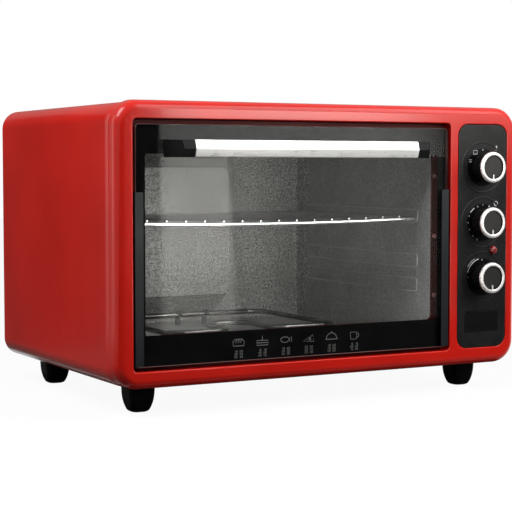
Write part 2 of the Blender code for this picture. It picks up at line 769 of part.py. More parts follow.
def bulge_section(grow, depth_share, y):
    """Return one outline of the pressed bulge, from its face to its foot."""
    side = BULGE_FACE_WIDTH / 2 + BULGE_SIDE_SLOPE * depth_share + grow
    low = CAVITY_FLOOR + BULGE_FACE_LOW - BULGE_LOW_SLOPE * depth_share - grow
    high = CAVITY_FLOOR + BULGE_FACE_HIGH + BULGE_HIGH_SLOPE * depth_share + grow
    corner = BULGE_FACE_CORNER + BULGE_FOOT_CORNER * depth_share
    outline = rounded_rectangle(DOOR_X - side, low, DOOR_X + side, high, corner, BULGE_FACE_CORNER)
    return [(x, y, z) for x, z in outline]


def guide_boxes():
    """Return the ledges, ridges and beads of the rack guides on both side walls."""
    walls = ((CAVITY_LEFT, 1), (CAVITY_RIGHT, -1))
    ledges, beads = [], []
    for wall, inward in walls:
        root = wall - inward * SHEET / 2
        for level in GUIDE_LEVELS:
            top = CAVITY_FLOOR + level
            for ridge_top in (top, top + GUIDE_SPACING + GUIDE_RIDGE):
                low = (root, GUIDE_FRONT, ridge_top - GUIDE_RIDGE)
                high = (wall + inward * GUIDE_LEDGE, GUIDE_BACK, ridge_top)
                ledges.append((low, high))
            low = (root, GUIDE_FRONT, top - GUIDE_RIDGE / 2)
            high = (
                wall + inward * GUIDE_BEAD, GUIDE_FRONT + GUIDE_BEAD_WIDTH,
                top + GUIDE_SPACING + GUIDE_RIDGE / 2,
            )
            beads.append((low, high))
        low = (root, WALL_BEAD_Y, MOUTH_LOW)
        high = (wall + inward * GUIDE_BEAD, WALL_BEAD_Y + WALL_BEAD_WIDTH, MOUTH_HIGH)
        beads.append((low, high))
    return ledges, beads


def heater_places():
    """Return name and place of each heater end in the cavity's back wall."""
    sides = (("left", HEATER_LEFT), ("right", HEATER_RETURN))
    rows = (
        ("lower", CAVITY_FLOOR + HEATER_STANDOFF), ("upper", CAVITY_ROOF - HEATER_STANDOFF),
    )
    return [(f"{row}_{side}", (x, CAVITY_BACK, z)) for side, x in sides for row, z in rows]


def make_liner(shop, steel):
    """Open-fronted cavity box with a front flange, rack guides and a pressed back wall."""
    back = CAVITY_BACK + SHEET
    outline = rounded_rectangle(
        CAVITY_LEFT - SHEET, CAVITY_FLOOR - SHEET, CAVITY_RIGHT + SHEET, CAVITY_ROOF + SHEET,
        CAVITY_CORNER + SHEET,
    )
    liner = shop.piece("cavity_liner", prism("liner", outline, LINER_FRONT, back), steel)
    flange = opening_prism("liner_flange", -LINER_FLANGE_INSET, LINER_FRONT, LINER_FRONT + SHEET)
    shop.join(liner, flange)
    inner = rounded_rectangle(CAVITY_LEFT, CAVITY_FLOOR, CAVITY_RIGHT, CAVITY_ROOF, CAVITY_CORNER)
    shop.cut(liner, prism("liner_inner", inner, LINER_FRONT - OVERRUN, CAVITY_BACK))
    face = CAVITY_BACK - BULGE_DEPTH
    skin = [bulge_section(0, 0, face), bulge_section(0, 1, CAVITY_BACK)]
    shop.join(liner, loft("bulge", skin + [bulge_section(0, 1, CAVITY_BACK + SHEET / 2)]))
    press = [bulge_section(-SHEET, 0, face + SHEET), bulge_section(-SHEET, 1, back)]
    shop.cut(liner, loft("bulge_press", press + [bulge_section(-SHEET, 1, back + OVERRUN)]))
    ledges, beads = guide_boxes()
    shop.join(liner, boxes("guide_ledges", ledges))
    shop.join(liner, boxes("guide_beads", beads))
    shop.cut(liner, screw_holes("heater_holes", heater_places(), HEATER_HOLE))
    shop.cut(liner, screw_holes("liner_holes", flange_screw_places()))
    return liner


def heater_path(height):
    """Return the corners of a heater's single tube, from one terminal to the other."""
    end = CAVITY_BACK + SHEET + HEATER_TAIL
    plan = (
        (HEATER_LEFT, end), (HEATER_LEFT, HEATER_FRONT), (HEATER_NOTCH_LEFT, HEATER_FRONT),
        (HEATER_NOTCH_LEFT, HEATER_NOTCH), (HEATER_NOTCH_RIGHT, HEATER_NOTCH),
        (HEATER_NOTCH_RIGHT, HEATER_FRONT), (HEATER_RIGHT, HEATER_FRONT),
        (HEATER_RIGHT, HEATER_REAR), (HEATER_RETURN, HEATER_REAR), (HEATER_RETURN, end),
    )
    return rounded_path([(x, y, height) for x, y in plan], HEATER_BEND)


def make_heater(shop, name, height, seat, steel, ceramic):
    """Tubular heater with its terminals behind the back wall and two posts to its seat."""
    shop.piece(name, tube(name, heater_path(height), HEATER_RADIUS), steel)
    start = CAVITY_BACK + SHEET + HEATER_TAIL + GAP
    profile = [
        (0, TERMINAL_LENGTH + TERMINAL_STUD_LENGTH),
        (TERMINAL_STUD, TERMINAL_LENGTH + TERMINAL_STUD_LENGTH), (TERMINAL_STUD, TERMINAL_LENGTH),
        (TERMINAL_RADIUS, TERMINAL_LENGTH), (TERMINAL_RADIUS, 0), (0, 0),
    ]
    for side, x in (("left", HEATER_LEFT), ("right", HEATER_RETURN)):
        shop.piece(
            f"{name}_terminal_{side}", turned("terminal", profile, SMALL_STEPS), ceramic,
            location=(x, start, height), rotation=(-QUARTER, 0, 0),
        )
    away = math.copysign(1, height - seat)
    tip = height + away * (HEATER_RADIUS + GAP + POST_RIM)
    foot = seat + away * GAP
    for side, offset in zip(("left", "right"), POST_OFFSETS):
        centre = DOOR_X + offset
        low = (centre - POST_WIDTH / 2, HEATER_REAR - POST_LENGTH / 2, min(tip, foot))
        high = (centre + POST_WIDTH / 2, HEATER_REAR + POST_LENGTH / 2, max(tip, foot))
        post = shop.piece(f"{name}_post_{side}", boxes("post", [(low, high)]), steel)
        start_x, end_x = centre - POST_WIDTH, centre + POST_WIDTH
        eye = cylinder("post_eye", HEATER_RADIUS + GAP, start_x, end_x, (HEATER_REAR, height), "X")
        shop.cut(post, eye)


def make_rack(shop, chrome, axis):
    """Wire rack: a closed frame rod with straight wires laid over its front and back."""
    corners = (
        (RACK_LEFT, RACK_FRONT, RACK_Z), (RACK_RIGHT, RACK_FRONT, RACK_Z),
        (RACK_RIGHT, RACK_BACK, RACK_Z), (RACK_LEFT, RACK_BACK, RACK_Z),
    )
    frame = tube("rack_frame", rounded_path(corners, RACK_CORNER, closed=True), RACK_ROD, closed=True)
    rack = shop.piece("wire_rack", frame, chrome, axis)
    height = RACK_Z + RACK_ROD + RACK_WIRE - RACK_SINK
    form = bmesh.new()
    for number in range(RACK_WIRES):
        x = DOOR_X + (number - (RACK_WIRES - 1) / 2) * RACK_PITCH
        ends = (RACK_FRONT - RACK_WIRE_OVERHANG, RACK_BACK + RACK_WIRE_OVERHANG)
        wire = tube("wire", [(x, end, height) for end in ends], RACK_WIRE)
        form.from_mesh(wire)
        bpy.data.meshes.remove(wire)
    shop.join(rack, finish_mesh("rack_wires", form))
    return rack


def make_feet(shop, rubber):
    """Four moulded feet, each pushed through the case and the bottom plate."""
    top = CASE_LOW - GAP
    height = FOOT_HEIGHT + top
    sections = []
    for level in range(FOOT_LEVELS + 1):
        share = level / FOOT_LEVELS
        half = (FOOT_TOP - (FOOT_TOP - FOOT_BOTTOM) * (1 - share) ** 2) / 2
        z = height * share - FOOT_HEIGHT
        sections.append([(x, y, z) for x, y in rounded_rectangle(-half, -half, half, half, FOOT_CORNER)])
    head_low = PLATE_HIGH + GAP
    head_high = head_low + FOOT_HEAD_LENGTH
    neck = [
        (0, head_high), (FOOT_HEAD, head_high), (FOOT_HEAD, head_low), (FOOT_NECK, head_low),
        (FOOT_NECK, top - OVERRUN), (0, top - OVERRUN),
    ]
    for name, (x, y) in foot_places():
        foot = shop.piece(f"foot_{name}", loft("foot", sections), rubber, location=(x, y, 0))
        shop.join(foot, turned("foot_neck", neck, SMALL_STEPS), place=(x, y, 0))


def make_glass(shop, glass, axis):
    """Door pane with a hole for each handle screw."""
    outline = rounded_rectangle(GLASS_LEFT, GLASS_LOW, GLASS_RIGHT, GLASS_HIGH, GLASS_CORNER)
    pane = shop.piece("door_glass", prism("glass", outline, GLASS_SETBACK, GLASS_BACK), glass, axis)
    for side in (-1, 1):
        centre = (bracket_screw_x(side), HANDLE_Z)
        start, end = GLASS_SETBACK - OVERRUN, GLASS_BACK + OVERRUN
        shop.cut(pane, cylinder("screw_hole", DOOR_SCREW + GAP, start, end, centre, "Y"))
    return pane


def bracket_screw_x(side):
    """Return the place along X of the screw through a handle bracket's foot."""
    outer = HANDLE_LENGTH / 2 + BRACKET_LENGTH + BRACKET_FLARE
    return DOOR_X + side * (outer - BRACKET_FOOT / 2)


def make_channel(shop, name, side, steel, axis):
    """Folded channel on one edge of the pane, with the hinge ear at its foot."""
    edge = GLASS_LEFT if side < 0 else GLASS_RIGHT
    outer = edge + side * (GAP + CHANNEL_WALL)
    inner = outer - side * CHANNEL_WIDTH
    low = HINGE_Z - CHANNEL_DROP
    high = low + CHANNEL_HEIGHT
    slot = edge + side * GAP
    outline = [
        (outer, CHANNEL_FRONT), (inner, CHANNEL_FRONT), (inner, GLASS_SETBACK - GAP),
        (slot, GLASS_SETBACK - GAP), (slot, GLASS_BACK + GAP), (inner, GLASS_BACK + GAP),
        (inner, CHANNEL_BACK), (outer, CHANNEL_BACK),
    ]
    channel = shop.piece(name, prism("channel", outline, low, high, "Z"), steel, axis)
    start, end = inner, inner + side * HINGE_EAR_WIDTH
    centre = (HINGE_Y, HINGE_Z)
    shop.join(channel, cylinder("ear", HINGE_EAR, start, end, centre, "X"))
    start, end = inner - side * OVERRUN, outer + side * OVERRUN
    shop.cut(channel, cylinder("ear_bore", HINGE_BORE, start, end, centre, "X"))


def make_hinge_pin(shop, name, side, steel):
    """Headed pin through the bezel's side wall into the channel's ear."""
    wall = OPENING_LEFT if side < 0 else OPENING_RIGHT
    seat = wall + side * (BEZEL_WALL + GAP)
    edge = GLASS_LEFT if side < 0 else GLASS_RIGHT
    tip = edge + side * (GAP + CHANNEL_WALL - CHANNEL_WIDTH)
    length = abs(seat - tip)
    mesh = screw_mesh("hinge_pin", HINGE_PIN, HINGE_HEAD, HINGE_HEAD_LENGTH, length)
    shop.piece(name, mesh, steel, location=(seat, HINGE_Y, HINGE_Z), rotation=(0, side * QUARTER, 0))


def handle_outline(back):
    """Return the handle's section: two facets that meet in a ridge, and a back."""
    half, lip = HANDLE_HALF_HEIGHT, HANDLE_LIP
    ridge = -HANDLE_REACH
    brow = ridge + HANDLE_FACET
    points = [
        (ridge, 0), (brow, half - lip), (brow + lip, half), (back, half),
        (back, -half), (brow + lip, -half), (brow, lip - half),
    ]
    return [(y, HANDLE_Z + z) for y, z in points]


def make_handle_bar(shop, aluminium, axis):
    """Straight faceted bar of the handle."""
    start, end = DOOR_X - HANDLE_LENGTH / 2, DOOR_X + HANDLE_LENGTH / 2
    bar = prism("bar", handle_outline(HANDLE_BACK), start, end, "X")
    return shop.piece("handle_bar", bar, aluminium, axis)


def make_bracket(shop, name, side, plastic, axis):
    """Handle end that carries the bar's facets round and flares out to the pane."""
    bar_end = HANDLE_LENGTH / 2 + GAP
    end = HANDLE_LENGTH / 2 + BRACKET_LENGTH
    foot = end + BRACKET_FLARE
    front, seat = -HANDLE_REACH, GLASS_SETBACK - GAP
    plan = [
        (bar_end, front), (end, front), (foot, seat), (foot - BRACKET_FOOT, seat),
        (end - BRACKET_WEB, HANDLE_BACK), (bar_end, HANDLE_BACK),
    ]
    outline = [(DOOR_X + side * x, y) for x, y in plan]
    low, high = HANDLE_Z - HANDLE_HALF_HEIGHT - OVERRUN, HANDLE_Z + HANDLE_HALF_HEIGHT + OVERRUN
    bracket = shop.piece(name, prism("bracket", outline, low, high, "Z"), plastic, axis)
    start, stop = DOOR_X + side * (bar_end - OVERRUN), DOOR_X + side * (foot + OVERRUN)
    limits = prism("bracket_facets", handle_outline(seat + OVERRUN), start, stop, "X")
    shop.shape(bracket, limits, "INTERSECT")
    depth = seat - DOOR_SCREW_GRIP - GAP
    centre = (bracket_screw_x(side), HANDLE_Z)
    shop.cut(bracket, cylinder("screw_bore", DOOR_SCREW + GAP, depth, seat + OVERRUN, centre, "Y"))


def make_door_screw(shop, name, side, steel, axis):
    """Screw from inside the door through the pane into a handle bracket."""
    length = GLASS_THICKNESS + GAP + GAP + DOOR_SCREW_GRIP
    mesh = screw_mesh("door_screw", DOOR_SCREW, DOOR_SCREW_HEAD, DOOR_SCREW_HEAD_LENGTH, length)
    place = (bracket_screw_x(side), GLASS_BACK + GAP, HANDLE_Z)
    shop.piece(name, mesh, steel, axis, location=place, rotation=(-QUARTER, 0, 0))


def make_door(shop, finishes):
    """Pane, channels, handle and hinge pins, the moving ones on the hinge's empty."""
    axis = make_empty("door_hinge_axis", (DOOR_X, HINGE_Y, HINGE_Z), shop.body)
    make_glass(shop, finishes["glass"], axis)
    make_handle_bar(shop, finishes["aluminium"], axis)
    for side, word in ((-1, "left"), (1, "right")):
        make_channel(shop, f"door_channel_{word}", side, finishes["dark_steel"], axis)
        make_bracket(shop, f"handle_bracket_{word}", side, finishes["black_plastic"], axis)
        make_door_screw(shop, f"handle_screw_{word}", side, finishes["steel"], axis)
        make_hinge_pin(shop, f"hinge_pin_{word}", side, finishes["steel"])


def make_panel(shop, plastic):
    """Control panel with a rim behind, shaft holes, a lamp hole and a badge pocket."""
    mesh = panel_prism("panel", -GAP, 0, PANEL_RIM_DEPTH)
    panel = shop.piece("control_panel", mesh, plastic)
    inset = -GAP - PANEL_RIM_WALL
    shop.cut(panel, panel_prism("panel_hollow", inset, PANEL_THICKNESS, PANEL_RIM_DEPTH + OVERRUN))
    start, end = -OVERRUN, PANEL_THICKNESS + OVERRUN
    for name, z in knob_places():
        shop.cut(panel, cylinder(name, SHAFT_RADIUS + GAP, start, end, (PANEL_X, z), "Y"))
    lamp = (PANEL_X + LAMP_SIDE, TIMER_Z + LAMP_ABOVE_TIMER)
    shop.cut(panel, cylinder("lamp_hole", LAMP_HOLE, start, end, lamp, "Y"))
    shop.cut(panel, badge_prism("badge_pocket", GAP, -OVERRUN, BADGE_POCKET))


def badge_prism(name, grow, start, end):
    """Return the badge plate's outline, grown all round and drawn out along Y."""
    left, right = PANEL_X - BADGE_WIDTH / 2 - grow, PANEL_X + BADGE_WIDTH / 2 + grow
    low = PANEL_LOW + BADGE_LOW - grow
    high = PANEL_LOW + BADGE_LOW + BADGE_HEIGHT + grow
    return prism(name, rounded_rectangle(left, low, right, high, BADGE_CORNER + grow), start, end)


def make_lamp(shop, red_lens, ceramic):
    """Domed indicator lens through the panel, with its lamp behind."""
    dome = [(0, LENS_DOME)]
    dome += [(r, z) for r, z in reversed(arc((0, 0), 1, 0, QUARTER, EDGE_STEPS)[:-1])]
    profile = [dome[0]] + [(r * LENS_RIM, z * LENS_DOME + GAP) for r, z in dome[1:]]
    profile += [(LENS_SHANK, GAP), (LENS_SHANK, -LENS_SHANK_LENGTH), (0, -LENS_SHANK_LENGTH)]
    x, z = PANEL_X + LAMP_SIDE, TIMER_Z + LAMP_ABOVE_TIMER
    lens = turned("lens", profile, SMALL_STEPS)
    shop.piece("indicator_lens", lens, red_lens, location=(x, 0, z), rotation=(QUARTER, 0, 0))
    start = LENS_SHANK_LENGTH + GAP
    lamp = cylinder("lamp", LAMP_RADIUS, start, start + LAMP_LENGTH, (x, z), "Y")
    shop.piece("indicator_lamp", lamp, ceramic)


def make_control_bracket(shop, steel):
    """Plate behind the panel that the three controls are held on."""
    inset = PANEL_RIM_WALL - CONTROL_BRACKET_INSET
    left, right = PANEL_LEFT - inset, PANEL_RIGHT + inset
    low, high = PANEL_LOW + CONTROL_BRACKET_LOW, PANEL_HIGH - CONTROL_BRACKET_HIGH
    outline = [(left, low), (right, low), (right, high), (left, high)]
    mesh = prism("bracket_plate", outline, CONTROL_FRONT, CONTROL_BACK)
    bracket = shop.piece("control_bracket", mesh, steel)
    start, end = CONTROL_FRONT - OVERRUN, CONTROL_BACK + OVERRUN
    for name, z in knob_places():
        shop.cut(bracket, cylinder(name, SHAFT_RADIUS + GAP, start, end, (PANEL_X, z), "Y"))
    lamp = (PANEL_X + LAMP_SIDE, TIMER_Z + LAMP_ABOVE_TIMER)
    shop.cut(bracket, cylinder("lamp_hole", LAMP_HOLE, start, end, lamp, "Y"))


def control_mesh(name, front):
    """Return the housing of one control, in its own shape."""
    if name == "thermostat":
        end = THERMOSTAT_DEPTH + THERMOSTAT_CAP_DEPTH
        profile = [
            (0, 0), (THERMOSTAT_RADIUS, 0), (THERMOSTAT_RADIUS, -THERMOSTAT_DEPTH),
            (THERMOSTAT_CAP, -THERMOSTAT_DEPTH), (THERMOSTAT_CAP, -end), (0, -end),
        ]
        mesh = turned("thermostat_housing", profile, SMALL_STEPS)
        mesh.transform(Matrix.Translation((0, front, 0)) @ Matrix.Rotation(QUARTER, 4, "X"))
        return mesh
    side, depth = (SWITCH_SIDE, SWITCH_DEPTH) if name == "function" else (TIMER_SIDE, TIMER_DEPTH)
    low = (-side / 2, front, -side / 2)
    high = (side / 2, front + depth, side / 2)
    return boxes(f"{name}_housing", [(low, high)])


def make_knob(shop, name, z, finishes):
    """Knob body, its bright ring with the pointer, its shaft and the control it turns."""
    axis = make_empty(f"{name}_knob_axis", (PANEL_X, 0, z), shop.body)
    place, turn = (PANEL_X, 0, z), (QUARTER, 0, 0)
    face = KNOB_HEIGHT - KNOB_FACE_RECESS
    seat = KNOB_HEIGHT - RING_DEPTH - GAP
    bore = SHAFT_IN_KNOB + GAP
    body = [
        (0, face), (KNOB_NECK, face), (KNOB_NECK, seat), (KNOB_BODY, seat), (KNOB_SKIRT, KNOB_STANDOFF),
        (SHAFT_RADIUS + GAP, KNOB_STANDOFF), (SHAFT_RADIUS + GAP, bore), (0, bore),
    ]
    shop.piece(f"{name}_knob", turned("knob", body), finishes["black_plastic"], axis, place, turn)
    ring = [
        (RING_INNER, KNOB_HEIGHT), (RING_OUTER - RING_CHAMFER, KNOB_HEIGHT),
        (RING_OUTER, KNOB_HEIGHT - RING_CHAMFER), (RING_OUTER, KNOB_HEIGHT - RING_DEPTH),
        (RING_INNER, KNOB_HEIGHT - RING_DEPTH), (RING_INNER, KNOB_HEIGHT),
    ]
    bright = shop.piece(f"{name}_knob_ring", turned("ring", ring), finishes["chrome"], axis, place, turn)
    half = POINTER_WIDTH / 2
    reach = (RING_INNER + RING_OUTER) / 2
    low = (PANEL_X - half, -face - GAP - POINTER_DEPTH, z - reach)
    high = (PANEL_X + half, -face - GAP, z - POINTER_START)
    shop.join(bright, boxes("pointer", [(low, high)]))
    start, end = -SHAFT_IN_KNOB, SHAFT_BEHIND
    shaft = cylinder("shaft", SHAFT_RADIUS, start, end, (0, 0), "Y")
    shop.piece(f"{name}_shaft", shaft, finishes["steel"], axis, place)
    front = CONTROL_BACK + GAP
    words = {"function": "function_switch", "thermostat": "thermostat", "timer": "timer"}
    housing = shop.piece(words[name], control_mesh(name, front), finishes["ceramic"], location=place)
    if name == "timer":
        start, end = front + TIMER_DEPTH - GAP, front + TIMER_DEPTH + TIMER_BELL_DEPTH
        shop.join(housing, cylinder("bell", TIMER_BELL, start, end, (PANEL_X, z), "Y"))
    end = CONTROL_BACK + SHAFT_BORE_DEPTH
    shop.cut(housing, cylinder("bore", SHAFT_RADIUS + GAP, front - OVERRUN, end, (PANEL_X, z), "Y"))


def make_controls(shop, finishes):
    """Panel, badge plate, lamp, bracket and the three knobs with their controls."""
    make_panel(shop, finishes["black_plastic"])
    start, end = -BADGE_PROUD, BADGE_POCKET - GAP
    shop.piece("badge_plate", badge_prism("badge", 0, start, end), finishes["dark_steel"])
    make_lamp(shop, finishes["red_lens"], finishes["ceramic"])
    make_control_bracket(shop, finishes["steel"])
    for name, z in knob_places():
        make_knob(shop, name, z, finishes)


def make_shield(shop, steel):
    """Folded plate between the cavity and the controls, standing on the bottom plate."""
    left = CAVITY_RIGHT + SHEET + SHIELD_SIDE
    low, high = PLATE_HIGH + GAP, CASE_HIGH - SHEET - GAP
    outline = [
        (left, low), (left + SHIELD_FOOT, low), (left + SHIELD_FOOT, low + SHEET),
        (left + SHEET, low + SHEET), (left + SHEET, high), (left, high),
    ]
    end = COVER_FRONT - GAP - CASE_BACK_EDGE
    shop.piece("heat_shield", prism("shield", outline, SHIELD_FRONT, end), steel)


def make_rear_fittings(shop, finishes):
    """Terminal block on the bottom plate and the cord inlet in the rear cover."""
    width, depth, height = TERMINAL_BLOCK
    right = CASE_RIGHT - TERMINAL_BLOCK_SIDE
    back = COVER_FRONT - TERMINAL_BLOCK_BACK
    low = (right - width, back - depth, PLATE_HIGH + GAP)
    high = (right, back, PLATE_HIGH + GAP + height)
    shop.piece("terminal_block", boxes("block", [(low, high)]), finishes["ceramic"])
    collar = GLAND_COLLAR_LENGTH
    wall = SHEET + GAP + GAP
    profile = [
        (GLAND_BORE, collar), (GLAND_COLLAR, collar), (GLAND_COLLAR, 0), (GLAND_NECK, 0),
        (GLAND_NECK, -wall), (GLAND_COLLAR, -wall), (GLAND_COLLAR, -wall - collar),
        (GLAND_BORE, -wall - collar), (GLAND_BORE, collar),
    ]
    place = (CASE_RIGHT - GLAND_SIDE, COVER_BACK + GAP, CASE_LOW + GLAND_RISE)
    gland = turned("gland", profile, SMALL_STEPS)
    shop.piece("cord_inlet", gland, finishes["rubber"], location=place, rotation=(-QUARTER, 0, 0))


def make_fasteners(shop, steel):
    """Screws of the bezel's flange and of the rear cover."""
    for name, (x, y, z) in flange_screw_places():
        mesh = screw_mesh("flange_screw", SCREW_RADIUS, SCREW_HEAD, SCREW_HEAD_LENGTH, SCREW_LENGTH)
        place = (x, y - GAP, z)
        shop.piece(f"flange_screw_{name}", mesh, steel, location=place, rotation=(QUARTER, 0, 0))
    for name, (x, y, z) in rear_screw_places():
        mesh = screw_mesh("rear_screw", SCREW_RADIUS, SCREW_HEAD, SCREW_HEAD_LENGTH, SCREW_LENGTH)
        place = (x, y + GAP, z)
        shop.piece(f"rear_screw_{name}", mesh, steel, location=place, rotation=(-QUARTER, 0, 0))


def make_finishes():
    """Return the oven's materials by name."""
    return {
        "red_paint": make_material("red_paint", (0.52, 0.03, 0.02), 0.25, 0),
        "steel": make_material("steel", (0.55, 0.55, 0.54), 0.4, 1),
        "liner_steel": make_material("liner_steel", (0.42, 0.42, 0.41), 0.5, 1),
        "dark_steel": make_material("dark_steel", (0.05, 0.05, 0.055), 0.35, 1),
        "chrome": make_material("chrome", (0.85, 0.85, 0.86), 0.12, 1),
        "aluminium": make_material("aluminium", (0.88, 0.88, 0.88), 0.25, 1),
        "black_plastic": make_material("black_plastic", (0.012, 0.012, 0.013), 0.35, 0),
        "rubber": make_material("rubber", (0.01, 0.01, 0.01), 0.6, 0),
        "ceramic": make_material("ceramic", (0.75, 0.72, 0.66), 0.5, 0),
        "red_lens": make_material("red_lens", (0.35, 0.01, 0.01), 0.15, 0),
        "glass": make_material("glass", (0.1, 0.1, 0.1), 0.05, 0, 0.35),
    }


def main():
    """Build the whole oven."""
    clear_scene()
    shop = Workshop()
    finishes = make_finishes()
    make_bezel(shop, finishes["red_paint"])
    make_case(shop, finishes["red_paint"])
    make_bottom_plate(shop, finishes["steel"])
    make_rear_cover(shop, finishes["steel"])
    make_liner(shop, finishes["liner_steel"])
    lower, upper = CAVITY_FLOOR + HEATER_STANDOFF, CAVITY_ROOF - HEATER_STANDOFF
    make_heater(shop, "lower_heater", lower, CAVITY_FLOOR, finishes["steel"], finishes["ceramic"])
    make_heater(shop, "upper_heater", upper, CAVITY_ROOF, finishes["steel"], finishes["ceramic"])
    rack_axis = make_empty("rack_slide_axis", (DOOR_X, RACK_FRONT, RACK_Z), shop.body)
    make_rack(shop, finishes["chrome"], rack_axis)
    make_feet(shop, finishes["rubber"])
    make_door(shop, finishes)
    make_controls(shop, finishes)
    make_shield(shop, finishes["steel"])
    make_rear_fittings(shop, finishes)
    make_fasteners(shop, finishes["steel"])
    bpy.context.view_layer.update()


main()
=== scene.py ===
"""Looks of the countertop electric oven.

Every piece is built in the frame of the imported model, in metres. The body frame starts at the
bezel's lower left front corner: X runs right, Y runs back and Z runs up.
"""
from __future__ import annotations

import json
import logging
import math
from dataclasses import dataclass, field
from enum import Enum
from typing import Any, Callable, ClassVar, Iterable, Sequence

import bmesh
import bpy
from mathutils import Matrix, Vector

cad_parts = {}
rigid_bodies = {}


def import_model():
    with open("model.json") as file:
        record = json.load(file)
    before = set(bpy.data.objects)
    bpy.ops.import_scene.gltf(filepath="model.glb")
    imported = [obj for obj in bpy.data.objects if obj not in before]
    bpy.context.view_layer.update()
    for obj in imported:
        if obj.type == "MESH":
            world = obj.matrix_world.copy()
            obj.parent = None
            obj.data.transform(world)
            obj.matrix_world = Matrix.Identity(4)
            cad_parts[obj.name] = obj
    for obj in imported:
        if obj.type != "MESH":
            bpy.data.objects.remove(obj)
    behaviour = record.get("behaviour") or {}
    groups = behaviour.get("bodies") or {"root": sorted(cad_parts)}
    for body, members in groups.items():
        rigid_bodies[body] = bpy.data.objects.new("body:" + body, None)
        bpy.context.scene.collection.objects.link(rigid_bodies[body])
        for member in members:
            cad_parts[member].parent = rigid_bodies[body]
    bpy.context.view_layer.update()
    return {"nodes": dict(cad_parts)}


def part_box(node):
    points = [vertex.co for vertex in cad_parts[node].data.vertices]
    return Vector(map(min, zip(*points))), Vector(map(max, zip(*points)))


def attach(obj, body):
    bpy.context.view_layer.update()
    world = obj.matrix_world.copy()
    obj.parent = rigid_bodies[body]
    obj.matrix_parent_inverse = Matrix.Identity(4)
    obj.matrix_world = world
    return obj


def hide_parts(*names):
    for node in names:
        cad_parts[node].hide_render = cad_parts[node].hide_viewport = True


LOG = logging.getLogger("oven")

Point2 = tuple[float, float]
Point3 = tuple[float, float, float]
Colour = tuple[float, float, float]
Box = tuple[float, float, float, float]
Stops = tuple[Point2, ...]
Form = bmesh.types.BMesh
Ring = list[bmesh.types.BMVert]

QUARTER = math.pi / 2
UP = Vector((0.0, 0.0, 1.0))
WHITE = (1.0, 1.0, 1.0, 1.0)
# Distance within which two points are one, in metres
WELD = 1e-6
# Angle in degrees up to which two faces of a combined form count as one flat face
FLAT_ANGLE = 0.5


class Body(Enum):
    """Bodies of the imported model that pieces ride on."""

    OVEN = "oven"
    DOOR = "door"
    RACK = "rack"
    FUNCTION = "function_control"
    THERMOSTAT = "thermostat_control"
    TIMER = "timer_control"


class Axis(Enum):
    """Axis of the body frame: an outline is drawn out along it, or a place is read on it."""

    X = "X"
    Y = "Y"
    Z = "Z"


class Socket:
    """An output socket of a node, with arithmetic that adds Math nodes."""

    def __init__(self, tree: NodeTree, socket: Any) -> None:
        """Keep the tree and the socket."""
        self.tree = tree
        self.socket = socket

    def _math(self, operation: str, *values: Any) -> Socket:
        """Add one Math node.

        Args:
            operation: name of the Math node's operation.
            values: numbers or sockets for its inputs, in order.

        Returns:
            The node's result.
        """
        return self.tree.add("ShaderNodeMath", {"operation": operation}, dict(enumerate(values)))

    def __add__(self, other: Any) -> Socket:
        """Return this plus the other."""
        return self._math("ADD", self, other)

    def __radd__(self, other: Any) -> Socket:
        """Return the other plus this."""
        return self._math("ADD", other, self)

    def __sub__(self, other: Any) -> Socket:
        """Return this less the other."""
        return self._math("SUBTRACT", self, other)

    def __rsub__(self, other: Any) -> Socket:
        """Return the other less this."""
        return self._math("SUBTRACT", other, self)

    def __mul__(self, other: Any) -> Socket:
        """Return this times the other."""
        return self._math("MULTIPLY", self, other)

    def __rmul__(self, other: Any) -> Socket:
        """Return the other times this."""
        return self._math("MULTIPLY", other, self)

    def most(self, other: Any) -> Socket:
        """Return the higher of this and the other."""
        return self._math("MAXIMUM", self, other)


@dataclass(frozen=True)
class Layer:
    """A noise layer: how fine it is per metre, how many finer layers it has and how strong they are."""

    scale: float
    detail: float = 2.0
    rough: float = 0.5


